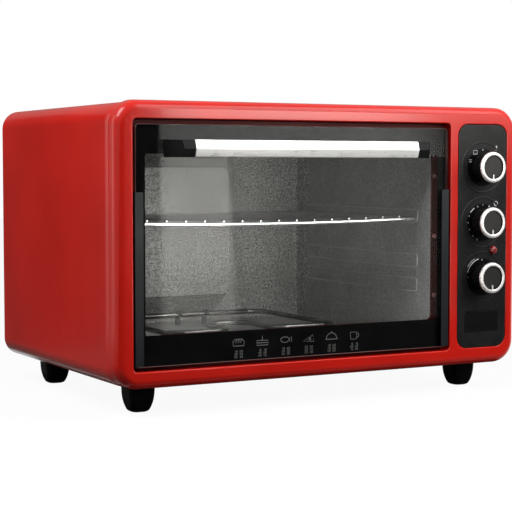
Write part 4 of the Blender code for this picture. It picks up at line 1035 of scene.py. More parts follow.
@dataclass
class OuterCase:
    """Red wrap behind the bezel, turned in at the back and open below between two foot flanges."""

    layout: Layout
    front: float = 0.0211
    corner: float = 0.022
    back_edge: float = 0.008
    rear_flange: float = 0.018
    foot_flange: float = 0.0685
    sheet: float = 0.0012
    slot_end: float = 0.3546
    edge_steps: int = 9
    corner_steps: int = 16
    least_corner: float = 0.003
    rim: Stops = ((0.0019, 0.0), (0.0012, 0.0005), (0.0006, 0.0035), (0.0001, 0.0085), (0.0, 0.0110))
    low_band: float = 0.0007

    def _outline(self, inset: float) -> list[Point2]:
        """Return the case's outline, drawn in, with points where its foot flanges end."""
        box = grown(self.layout.case, -inset)
        outline = rounded_outline(*box, max(self.corner - inset, self.least_corner), self.corner_steps)
        first = self.corner_steps + 1
        return [*outline[:first], *((x, box[1]) for x in self._slot()), *outline[first:]]

    def _slot(self) -> Point2:
        """Return the two places along X where the foot flanges end."""
        left, _, right, _ = self.layout.case
        return left + self.foot_flange, right - self.foot_flange

    def form(self) -> Form:
        """Build the wrap as a sheet.

        Returns:
            The form.
        """
        form = bmesh.new()
        back = self.layout.depth
        levels = [(inset, self.front + run) for inset, run in self.rim]
        levels += [(0.0, self.slot_end), *back_rounding(self.back_edge, back, self.edge_steps)]
        bridge(form, rings_at(form, self._outline, (*levels, (self.rear_flange, back))))
        slot_start, slot_stop = self._slot()
        middle = []
        for face in form.faces:
            x, y, z = face.calc_center_median()
            below = abs(z - self.layout.case[1]) < self.low_band
            if below and slot_start < x < slot_stop and y < self.slot_end:
                middle.append(face)
        bmesh.ops.delete(form, geom=middle, context="FACES")
        face_up(form, max(form.faces, key=height_of))
        return form

    def build(self, bench: Bench) -> None:
        """Set the wrap on the oven and give its sheet its thickness."""
        form = self.form()
        bmesh.ops.solidify(form, geom=form.faces, thickness=self.sheet)
        bench.piece("case_wrap", form, Finishes.RED, Body.OVEN, ("outer_case",), sharp=45.0)
        bench.dress(Finishes.GALVANISED, "rear_cover", "bottom_plate", "heat_shield", "control_bracket")


@dataclass
class CavityLiner:
    """Mottled steel box behind the door, with a pressed bulge and pressed rack guides in a lighter steel
    that paints their highlights.
    """

    layout: Layout
    front: float = 0.0173
    front_edge: float = 0.0012
    sheet: float = 0.0012
    thin_share: float = 0.8
    corner: float = 0.006
    back_fillet: float = 0.005
    fillet_steps: int = 6
    flange_inset: float = 0.004
    flange_corner: float = 0.005
    bulge_depth: float = 0.020
    bulge_steps: int = 16
    bulge_step: float = 0.08
    bulge_ease: float = 0.25
    bulge_edge: Stops = ((0.0002, 0.0008), (0.0006, 0.0003), (0.0012, 0.0001), (0.0020, 0.0))
    bulge_half: float = 0.0732
    bulge_low: float = 0.0373
    bulge_high: float = 0.2063
    slope: tuple[float, float, float] = (0.006, 0.0310, 0.0230)
    face_corner: float = 0.010
    foot_corner: float = 0.036
    guide_levels: tuple[float, float, float] = (0.0570, 0.0865, 0.1405)
    guide_gap: float = 0.0135
    guide_half: float = 0.00125
    guide_span: Point2 = (0.0445, 0.306)
    guide_bend: float = 0.005
    guide_joint: Point2 = (0.058, 0.052)
    guide_steps: int = 12
    bead_reach: float = 0.0020
    ledge_reach: float = 0.0054
    bead_end: float = 0.0490
    bead_run: float = 0.012
    end_share: float = 0.12
    end_run: float = 0.010
    fold: float = 0.0405
    fold_half: float = 0.0009
    fold_reach: float = 0.0006
    fold_sink: float = 0.0001

    def _box(self, grow: float) -> list[Point2]:
        """Return the cavity's outline, grown."""
        return rounded_outline(*grown(self.layout.cavity, grow), self.corner)

    def _bulge(self, form: Form, share: float, y: float, inset: float = 0.0) -> Ring:
        """Add one outline of the bulge.

        Args:
            form: the mesh.
            share: 0 at its face and 1 at its foot.
            y: place along Y.
            inset: how far it is drawn in.

        Returns:
            The ring.
        """
        side, low, high = (part * share - inset for part in self.slope)
        floor = self.layout.cavity[1]
        half = self.bulge_half + side
        outline = rounded_outline(
            self.layout.door_x - half, floor + self.bulge_low - low, self.layout.door_x + half,
            floor + self.bulge_high + high, self.face_corner + self.foot_corner * share,
            top_radius=self.face_corner,
        )
        return ring_at(form, outline, y)

    def shell(self) -> Form:
        """Build the box as a sheet, its bulge among it.

        Returns:
            The form.
        """
        form = bmesh.new()
        flange = grown(self.layout.opening, -self.flange_inset)
        rings = [ring_at(form, rounded_outline(*flange, self.flange_corner), self.front)]
        back = self.layout.cavity_back
        levels = [(self.front_edge, self.front), (0.0, self.front + self.front_edge)]
        levels += [(-inset, y) for inset, y in back_rounding(self.back_fillet, back, self.fillet_steps)]
        rings += rings_at(form, self._box, levels)
        for step in range(self.bulge_steps, -1, -1):
            share = step / self.bulge_steps
            eased = share * share * (3 - 2 * share)
            slope = (1 - self.bulge_ease) * share + self.bulge_ease * eased
            depth = self.bulge_step + (1 - self.bulge_step) * slope
            rings.append(self._bulge(form, share, back - self.bulge_depth * (1 - depth)))
        for inset, sink in self.bulge_edge:
            rings.append(self._bulge(form, 0.0, back - self.bulge_depth + sink, inset))
        bridge(form, rings)
        form.faces.new(rings[-1])
        return form

    def guide(self, wall: float, inward: float, level: float) -> Form:
        """Build one pressed guide: two ridges that join in a round bead at the front.

        Args:
            wall: X of the side wall.
            inward: 1 on the left wall, -1 on the right.
            level: height of its ledge above the floor.

        Returns:
            The form.
        """
        form = bmesh.new()
        floor = self.layout.cavity[1]
        low = floor + level - self.guide_half
        high = floor + level + self.guide_gap + self.guide_half
        start, end = self.guide_span
        root = wall - inward * self.sheet / 3
        corners = ((root, end, low), (root, start, low), (root, start, high), (root, end, high))
        bend = tube_path(corners, self.guide_bend, steps=8)[1:-1]
        joint, near = self.guide_joint
        steps = self.guide_steps
        runs = [end - (end - joint) * step / steps for step in range(steps)] + [joint, near]
        path = [Vector((root, y, low)) for y in runs] + bend
        path += [Vector((root, y, high)) for y in reversed(runs)]

        def section(here: int) -> list[Point2]:
            """Return the guide's section at a point: low in the front bead and at the back end."""
            y = path[here].y
            inside = min(1.0, max(0.0, (y - self.bead_end) / self.bead_run))
            ease = min(1.0, max(self.end_share, (end - y) / self.end_run))
            reach = (self.bead_reach + (self.ledge_reach - self.bead_reach) * inside) * ease
            return swell(self.guide_half, reach, 2 * QUARTER, 8)

        sweep(form, path, section, Vector((inward, 0.0, 0.0)))
        return form

    def wall_fold(self, wall: float, inward: float) -> Form:
        """Build the low upright fold near the front of a side wall.

        Args:
            wall: X of the side wall.
            inward: 1 on the left wall, -1 on the right.

        Returns:
            The form.
        """
        form = bmesh.new()
        _, low, _, high = grown(self.layout.cavity, -self.corner)
        arch = swell(self.fold_half, self.fold_reach, 2 * QUARTER, 8)
        rows = []
        for z in (low, high):
            points = [(wall + inward * (v - self.fold_sink), self.fold + u, z) for u, v in arch]
            rows.append([form.verts.new(point) for point in points])
        bridge(form, rows)
        return form

    def build(self, bench: Bench) -> None:
        """Set the box and its guides on the oven."""
        form = self.shell()
        face_up(form, min(form.faces, key=height_of))
        bmesh.ops.solidify(form, geom=form.faces, thickness=self.sheet * self.thin_share)
        bench.piece("liner_box", form, Finishes.LINER, Body.OVEN, ("cavity_liner",), sharp=60.0)
        left, _, right, _ = self.layout.cavity
        for side, wall, inward in (("left", left, 1.0), ("right", right, -1.0)):
            for number, level in enumerate(self.guide_levels, 1):
                # Guides take the lighter steel, a painted highlight.
                name = f"guide_{side}_{number}"
                bench.piece(name, self.guide(wall, inward, level), Finishes.GUIDE, Body.OVEN, sharp=70.0)
            fold = self.wall_fold(wall, inward)
            bench.piece(f"wall_fold_{side}", fold, Finishes.LINER, Body.OVEN, sharp=70.0)


@dataclass
class Heater:
    """One bent heater tube on two bent strips."""

    layout: Layout
    name: str
    height: float
    seat: float
    radius: float = 0.0033
    bend: float = 0.022
    plan: tuple[Point2, ...] = (
        (0.1081, 0.3422), (0.1081, 0.099), (0.1901, 0.099), (0.1901, 0.179), (0.2471, 0.179),
        (0.2471, 0.099), (0.3351, 0.099), (0.3351, 0.294), (0.1401, 0.294), (0.1401, 0.3422),
    )
    posts: tuple[float, float] = (0.2148, 0.2539)
    post_width: float = 0.0062
    strip: float = 0.0011
    strip_foot: Stops = ((0.0002, 0.0006), (0.0, 0.004))
    clearance: float = 0.0003
    hook_start: float = -5.0
    hook_turn: float = 215.0
    hook_steps: int = 12
    run: float = 0.294

    def tube(self) -> Form:
        """Return the tube's form."""
        form = bmesh.new()
        path = tube_path([(x, y, self.height) for x, y in self.plan], self.bend)
        ring = circle(self.radius, 20)
        sweep(form, path, lambda here: ring, UP)
        return form

    def post(self, x: float) -> Form:
        """Build a strip that stands on the sheet and hooks round the tube.

        Args:
            x: its place along X.

        Returns:
            The form.
        """
        form = bmesh.new()
        away = math.copysign(1.0, self.height - self.seat)
        reach = self.radius + self.clearance + self.strip / 2
        points = [(self.run + reach + aside, self.seat + away * rise) for aside, rise in self.strip_foot]
        for step in range(self.hook_steps + 1):
            turn = math.radians(self.hook_start + self.hook_turn * step / self.hook_steps)
            rise = away * reach * math.sin(turn)
            points.append((self.run + reach * math.cos(turn), self.height + rise))
        path = [Vector((x, y, z)) for y, z in points]
        half, thick = self.post_width / 2, self.strip / 2
        section = [(-thick, -half), (thick, -half), (thick, half), (-thick, half)]
        sweep(form, path, lambda here: section, Vector((1.0, 0.0, 0.0)))
        return form

    def build(self, bench: Bench) -> None:
        """Set the heater on the oven."""
        bench.piece(f"{self.name}_tube", self.tube(), Finishes.TUBE, Body.OVEN, (self.name,))
        for side, x in zip(("left", "right"), self.posts):
            node = f"{self.name}_post_{side}"
            bench.piece(f"{node}_strip", self.post(x), Finishes.STRIP, Body.OVEN, (node,), bevel=0.0002)
        bench.dress(Finishes.CERAMIC, f"{self.name}_terminal_left", f"{self.name}_terminal_right")


@dataclass
class WireRack:
    """Chromed rack: a closed rod with straight wires welded across it."""

    layout: Layout
    left: float = 0.0406
    right: float = 0.4108
    front: float = 0.0440
    back: float = 0.308
    level: float = 0.1753
    rod: float = 0.0025
    wire: float = 0.0015
    corner: float = 0.0045
    pitch: float = 0.0237
    shift: float = -0.0040
    count: int = 15
    sink: float = 0.0006
    sag: float = 0.0028
    lift: float = 0.0008
    overhang: float = 0.0011
    rod_stretch: float = 0.015
    tip: Stops = ((0.0, 0.55), (0.0004, 0.88), (0.0012, 1.0))

    def build(self, bench: Bench) -> None:
        """Set the rod and its wires on the rack's body."""
        corners = (
            (self.left, self.front, self.level), (self.right, self.front, self.level),
            (self.right, self.back, self.level), (self.left, self.back, self.level),
        )
        form = bmesh.new()
        ring = circle(self.rod, 20)
        path = tube_path(corners, self.corner, True, 12)
        rod = []
        for first, second in zip(path, [*path[1:], path[0]]):
            parts = max(1, round((second - first).length / self.rod_stretch))
            rod += [first.lerp(second, step / parts) for step in range(parts)]
        sweep(form, rod, lambda here: ring, UP, True)
        height = self.level + self.rod + self.wire - self.sink
        start, end = self.front - self.overhang, self.back + self.overhang
        stations = [*self.tip, *((end - start - run, size) for run, size in reversed(self.tip))]

        def section(here: int) -> list[Point2]:
            """Return a wire's section at a point, drawn in at its ends."""
            return circle(stations[here][1] * self.wire, 14)

        for number in range(self.count):
            x = self.layout.door_x + self.shift + (number - (self.count - 1) / 2) * self.pitch
            sweep(form, [Vector((x, start + run, height)) for run, _ in stations], section, UP)
        half = (self.right - self.left) / 2
        for vertex in form.verts:
            aside = (vertex.co.x - self.layout.door_x) / half
            vertex.co.z += self.lift - self.sag * max(0.0, 1.0 - aside * aside)
        bench.piece("rack_wires", form, Finishes.CHROME, Body.RACK, ("wire_rack",), sharp=50.0)


@dataclass
class Feet:
    """Four moulded feet under the case."""

    layout: Layout
    height: float = 0.0305
    top: float = 0.0310
    bottom: float = 0.0200
    corner: float = 0.0062
    clearance: float = 0.0004
    edge_shares: tuple[float, ...] = (0.0, 0.012, 0.035, 0.07)
    edge_inset: float = 0.0016
    side_steps: int = 14
    places: tuple[tuple[str, float, float], ...] = (
        ("front_left", 0.048, 0.052), ("back_left", 0.048, 0.3047),
        ("front_right", 0.482, 0.052), ("back_right", 0.482, 0.3047),
    )

    def form(self, x: float, y: float) -> Form:
        """Build one foot.

        Args:
            x: middle of the foot along X.
            y: middle of the foot along Y.

        Returns:
            The form.
        """
        form = bmesh.new()
        whole = self.height + self.layout.case[1] - self.clearance
        edge = self.edge_shares[-1]
        sides = [edge + (1 - edge) * step / self.side_steps for step in range(1, self.side_steps + 1)]
        rings = []
        for share in (*self.edge_shares, *sides):
            half = (self.top - (self.top - self.bottom) * (1 - share) ** 3) / 2
            half -= self.edge_inset * max(0.0, 1 - share / edge) ** 2
            outline = rounded_outline(x - half, y - half, x + half, y + half, self.corner, 8)
            z = whole * share - self.height
            rings.append([form.verts.new((px, py, z)) for px, py in outline])
        bridge(form, rings)
        cap(form, rings)
        return form

    def build(self, bench: Bench) -> None:
        """Set the feet on the oven."""
        for name, x, y in self.places:
            form, node = self.form(x, y), f"foot_{name}"
            bench.piece(f"rubber_{node}", form, Finishes.FOOT, Body.OVEN, (node,), sharp=50.0)


@dataclass
class Door:
    """Glass door with its printed border, side channels and handle."""

    layout: Layout
    front: float = 0.0015
    thickness: float = 0.0040
    corner: float = 0.0045
    grind: float = 0.0005
    window: Box = (0.0365, 0.0577, 0.4159, 0.2525)
    window_corner: float = 0.0022
    print_gap: float = 0.00006
    print_thickness: float = 0.00008
    print_inset: float = 0.0007
    channel_top: float = 0.2115
    channel_low: float = 0.0255
    channel_wall: float = 0.0008
    channel_width: float = 0.0098
    gap: float = 0.0003
    hinge: Point2 = (0.0085, 0.0295)
    ear: float = 0.0027
    ear_length: float = 0.008
    bore: float = 0.0015
    bar_half_length: float = 0.143
    bar_z: float = 0.2580
    bar_half: float = 0.0094
    reach: float = 0.025
    facet: float = 0.0024
    bar_back: float = -0.017
    bar_lip: float = 0.0012
    bracket_length: float = 0.0144
    bracket_flare: float = 0.0123
    bracket_foot: float = 0.014
    bracket_web: float = 0.006
    bracket_half: float = 0.015
    spare: float = 0.005

    def _outline(self, grow: float) -> list[Point2]:
        """Return the pane's outline, grown."""
        return rounded_outline(*grown(self.layout.glass, grow), self.corner + grow)

    def pane(self) -> Form:
        """Build the pane, its ground edge in the second finish, whose pinkish colour is a painted
        reflection of the red bezel.

        Returns:
            The form.
        """
        form = bmesh.new()
        front, back, grind = self.front, self.front + self.thickness, self.grind
        steps = ((-grind, front), (0.0, front + grind), (0.0, back - grind), (-grind, back))
        rings = rings_at(form, self._outline, steps)
        for face in bridge(form, rings):
            face.material_index = 1
        cap(form, rings)
        return form

    def border(self) -> Form:
        """Build the black print behind the pane, open at the window.

        Returns:
            The form.
        """
        form = bmesh.new()
        near = self.front + self.thickness + self.print_gap
        outer = rounded_outline(*grown(self.layout.glass, -self.print_inset), self.corner)
        inner = rounded_outline(*self.window, self.window_corner)
        far = near + self.print_thickness
        course = ((inner, near), (outer, near), (outer, far), (inner, far))
        skinned(form, [ring_at(form, outline, y) for outline, y in course], True)
        return form

    def channel(self, side: float) -> Form:
        """Build the folded channel on one edge of the pane, its hinge ear among it.

        Args:
            side: -1 at the left, 1 at the right.

        Returns:
            The form.
        """
        edge = self.layout.glass[0] if side < 0 else self.layout.glass[2]
        front, back = self.front - self.gap, self.front + self.thickness + self.gap
        outer = edge + side * (self.gap + self.channel_wall)
        inner = outer - side * self.channel_width
        slot = edge + side * self.gap
        outline = [
            (outer, front - self.channel_wall), (inner, front - self.channel_wall), (inner, front),
            (slot, front), (slot, back), (inner, back), (inner, back + self.channel_wall),
            (outer, back + self.channel_wall),
        ]
        form, ear, hole = bmesh.new(), bmesh.new(), bmesh.new()
        prism(form, outline, self.channel_low, self.channel_top, Axis.Z)
        spare = side * self.ear_length / 2
        rounds = (
            (ear, self.ear, inner, inner + 2 * spare), (hole, self.bore, inner - spare, outer + spare),
        )
        for part, radius, start, end in rounds:
            ring = [(self.hinge[0] + u, self.hinge[1] + v) for u, v in circle(radius, 24)]
            prism(part, ring, start, end, Axis.X)
        return combined(combined(form, ear, "UNION"), hole, "DIFFERENCE")

    def bar_outline(self, back: float) -> list[Point2]:
        """Return the bar's section: two facets that meet in a ridge, and a back."""
        half, lip = self.bar_half, self.bar_lip
        ridge, brow = -self.reach, -self.reach + self.facet
        points = [
            (ridge, 0.0), (brow, half - lip), (brow + lip, half), (back, half), (back, -half),
            (brow + lip, -half), (brow, lip - half),
        ]
        return [(y, self.bar_z + z) for y, z in points]

    def bar(self) -> Form:
        """Return the handle bar's form."""
        form = bmesh.new()
        middle, half = self.layout.door_x, self.bar_half_length
        prism(form, self.bar_outline(self.bar_back), middle - half, middle + half, Axis.X)
        return form

    def bracket(self, side: float) -> Form:
        """Build the handle's end, which flares out to the pane.

        Args:
            side: -1 at the left, 1 at the right.

        Returns:
            The form.
        """
        near = self.bar_half_length + self.gap
        end = self.bar_half_length + self.bracket_length
        foot = end + self.bracket_flare
        seat = self.front - self.gap
        plan = [
            (near, -self.reach), (end, -self.reach), (foot, seat), (foot - self.bracket_foot, seat),
            (end - self.bracket_web, self.bar_back), (near, self.bar_back),
        ]
        outline = [(self.layout.door_x + side * x, y) for x, y in plan]
        form = bmesh.new()
        prism(form, outline, self.bar_z - self.bracket_half, self.bar_z + self.bracket_half, Axis.Z)
        limits = bmesh.new()
        ends = [self.layout.door_x + side * x for x in (near - self.spare, foot + self.spare)]
        prism(limits, self.bar_outline(seat + self.spare), *ends, Axis.X)
        return combined(form, limits, "INTERSECT")

    def build(self, bench: Bench) -> None:
        """Set the door's pieces on the door."""
        bench.piece(
            "pane", self.pane(), Finishes.GLASS, Body.DOOR, ("door_glass",),
            sharp=30.0, more=(Finishes.EDGE,),
        )
        bench.piece("pane_border", self.border(), Finishes.BORDER, Body.DOOR, sharp=30.0)
        bench.piece("bar", self.bar(), Finishes.SILVER, Body.DOOR, ("handle_bar",), bevel=0.0005)
        for side, word in ((-1.0, "left"), (1.0, "right")):
            bench.piece(
                f"channel_{word}", self.channel(side), Finishes.DARK_CHANNEL, Body.DOOR,
                (f"door_channel_{word}",), bevel=0.0002,
            )
            bench.piece(
                f"bar_end_{word}", self.bracket(side), Finishes.BLACK, Body.DOOR,
                (f"handle_bracket_{word}",), bevel=0.0005,
            )
            bench.dress(Finishes.SCREW, f"handle_screw_{word}", f"hinge_pin_{word}")


class Food(Enum):
    """Plain signs of the foods that the door's table is about."""

    LOAF = "loaf"
    CAKE = "cake"
    FISH = "fish"
    PIE = "pie"
    DISH = "dish"
    CUP = "cup"


@dataclass
class DoorTable:
    """Row of plain food signs with cooking numbers, printed behind the pane's lower border."""

    columns: tuple[tuple[Food, float, tuple[str, ...]], ...] = (
        (Food.LOAF, 0.1490, ("18 20", "30 45", "25 35")),
        (Food.CAKE, 0.1791, ("16 18", "40 50", "35 45")),
        (Food.FISH, 0.2092, ("18 20", "25 30", "20 30")),
        (Food.PIE, 0.2393, ("20 22", "30 40", "25 35")),
        (Food.DISH, 0.2695, ("18 20", "45 60", "40 50")),
        (Food.CUP, 0.3000, ("15 16", "20 25", "15 25")),
    )
    sign_z: float = 0.0445
    row_z: float = 0.0337
    row_pitch: float = 0.0031
    digit_height: float = 0.0020
    digit_aspect: float = 0.7
    digit_pitch: float = 1.6
    digit_line: float = 0.42
    size: float = 0.0074
    face: float = 0.00551
    thickness: float = 0.00004
    line: float = 0.0006
    signs: ClassVar[dict[Food, list[tuple[list[Point2], bool]]]] = {
        Food.LOAF: [
            ([(-0.9, -0.5), (0.9, -0.5), (0.95, 0.15), (0.6, 0.5), (-0.6, 0.5), (-0.95, 0.15)], True),
            *(([(u - 0.1, -0.05), (u + 0.15, 0.5)], False) for u in (-0.4, 0.0, 0.4)),
        ],
        Food.CAKE: [
            ([(-0.95, -0.6), (0.95, -0.6), (0.95, 0.1), (-0.95, 0.1)], True),
            ([(-0.95, -0.25), (0.95, -0.25)], False), ([(0.0, 0.1), (0.0, 0.75)], False),
        ],
        Food.FISH: [
            ([(u - 0.15, v) for u, v in swell(0.75, 0.42, 4 * QUARTER, 18)[:-1]], True),
            ([(0.6, 0.0), (1.0, 0.4), (1.0, -0.4)], True),
        ],
        Food.PIE: [
            ([(-0.95, -0.4), (0.9, -0.55), (0.7, 0.45)], True),
            (arc((0.2, -0.15), 0.16, 0.0, 3.9 * QUARTER, 9), False),
        ],
        Food.DISH: [
            (arc((0.0, -0.35), 0.95, 0.0, 2 * QUARTER, 14), False),
            ([(-1.1, -0.38), (1.1, -0.38)], False), ([(0.0, 0.6), (0.0, 0.85)], False),
        ],
        Food.CUP: [
            ([(-0.7, 0.5), (0.5, 0.5), (0.4, -0.6), (-0.6, -0.6)], True),
            (arc((0.5, 0.0), 0.35, -QUARTER, 2 * QUARTER, 8), False),
        ],
    }
    strokes: ClassVar[dict[str, tuple[Point2, Point2]]] = {
        "t": ((0, 1), (1, 1)), "m": ((0, 0.5), (1, 0.5)), "b": ((0, 0), (1, 0)), "k": ((0, 0.5), (0, 1)),
        "r": ((1, 0.5), (1, 1)), "l": ((0, 0), (0, 0.5)), "s": ((1, 0), (1, 0.5)),
    }
    lit: ClassVar[dict[str, str]] = {
        "0": "tbkrls", "1": "rs", "2": "trmlb", "3": "trmsb", "4": "kmrs", "5": "tkmsb", "6": "tkmlsb",
        "8": "tmbkrls", " ": "",
    }

    def _stroke(self, form: Form, points: Sequence[Point2], width: float, closed: bool = False) -> None:
        """Add a flat line of even width.

        Args:
            form: the mesh.
            points: its course, in X and Z.
            width: its width.
            closed: whether it runs back to its start.
        """
        half, path = width / 2, [Vector((x, self.face, z)) for x, z in points]
        section = [(-half, 0.0), (half, 0.0), (half, self.thickness), (-half, self.thickness)]
        sweep(form, path, lambda here: section, Vector((0.0, 1.0, 0.0)), closed)

    def _sign(self, form: Form, food: Food, x: float) -> None:
        """Draw one food sign in lines.

        Args:
            form: the mesh.
            food: which sign.
            x: its middle.
        """
        for points, closed in self.signs[food]:
            course = [(x + u * self.size, self.sign_z + v * self.size) for u, v in points]
            self._stroke(form, course, self.line, closed)

    def _digits(self, form: Form, digits: str, x: float, z: float) -> None:
        """Write digits in straight strokes.

        Args:
            form: the mesh.
            digits: the digits.
            x: middle of the word.
            z: its foot.
        """
        high = self.digit_height
        wide = high * self.digit_aspect
        pitch = wide * self.digit_pitch
        start = x - (len(digits) * pitch - (pitch - wide)) / 2
        for place, digit in enumerate(digits):
            left = start + place * pitch
            for key in self.lit[digit]:
                course = [(left + u * wide, z + v * high) for u, v in self.strokes[key]]
                self._stroke(form, course, self.line * self.digit_line)

    def build(self, bench: Bench) -> None:
        """Set the signs and numbers on the door."""
        for food, x, words in self.columns:
            form = bmesh.new()
            self._sign(form, food, x)
            for row, word in enumerate(words):
                self._digits(form, word, x, self.row_z - self.row_pitch * row)
            bench.piece(f"table_{food.value}", form, Finishes.SIGN_PRINT, Body.DOOR, sharp=30.0)


@dataclass
class ControlPanel:
    """Black panel with the badge plate and the indicator lens."""

    layout: Layout
    gap: float = 0.0003
    corner: float = 0.014
    depth: float = 0.006
    rim: float = 0.002
    floor: float = 0.003
    soft: float = 0.0009
    soft_steps: int = 5
    badge: Box = (0.4534, 0.0400, 0.5029, 0.0646)
    badge_corner: float = 0.0015
    least_corner: float = 0.0004
    badge_edge: Stops = (
        (0.0, 0.0003), (0.0, -0.0001), (-0.0003, -0.0004), (-0.0016, -0.0004), (-0.0019, -0.0002),
    )
    pocket_edge: Stops = ((0.0007, 0.0), (0.0003, 0.0003), (0.0003, 0.0006))
    lamp: Point2 = (0.49445, 0.1381)
    lens_radius: float = 0.0053
    lens_height: float = 0.0043
    lens_edge: float = 0.0004
    stem_radius: float = 0.0045
    stem_length: float = 0.010

    def _outline(self, inset: float) -> list[Point2]:
        """Return the panel's outline, drawn in."""
        shrink = self.gap + inset
        return rounded_outline(*grown(self.layout.panel, -shrink), self.corner - shrink)

    def _badge_outline(self, grow: float) -> list[Point2]:
        """Return the badge's outline, grown."""
        corner = max(self.least_corner, self.badge_corner + grow)
        return rounded_outline(*grown(self.badge, grow), corner, 5)

    def plate(self) -> Form:
        """Build the panel as a shallow tray with a soft front edge and a pocket for the badge.

        Returns:
            The form.
        """
        form = bmesh.new()
        inside = ((0.0, self.depth), (self.rim, self.depth), (self.rim, self.floor))
        rings = rings_at(form, self._outline, (*rounding(self.soft, self.soft_steps), *inside))
        pocket = rings_at(form, self._badge_outline, self.pocket_edge)
        for row in (rings, pocket):
            bridge(form, row)
            form.faces.new(row[-1])
        fill_between(form, (rings[0], pocket[0]))
        return form

    def badge_plate(self) -> Form:
        """Return the badge plate's form, with a soft edge and a plain field."""
        form = bmesh.new()
        skinned(form, rings_at(form, self._badge_outline, self.badge_edge), False)
        return form

    def lens(self) -> Form:
        """Return the indicator lens's form."""
        form = bmesh.new()
        foot = self.gap + self.lens_edge
        dome = swell(self.lens_radius, self.lens_height - foot, QUARTER, 10)
        stem, low = self.stem_radius, -self.stem_length
        profile = [(0.0, low), (stem, low), (stem, self.gap), (self.lens_radius, self.gap)]
        profile += [(radius, foot + rise) for radius, rise in dome]
        lathe(form, profile, (self.lamp[0], 0.0, self.lamp[1]), 40)
        return form

    def build(self, bench: Bench) -> None:
        """Set the panel's own pieces on the oven."""
        pieces = (
            ("panel_plate", self.plate(), Finishes.PANEL, "control_panel", 35.0),
            ("bare_badge", self.badge_plate(), Finishes.BADGE, "badge_plate", 35.0),
            ("lamp_lens", self.lens(), Finishes.LENS, "indicator_lens", 50.0),
        )
        for name, form, finish, node, sharp in pieces:
            bench.piece(name, form, finish, Body.OVEN, (node,), sharp=sharp)


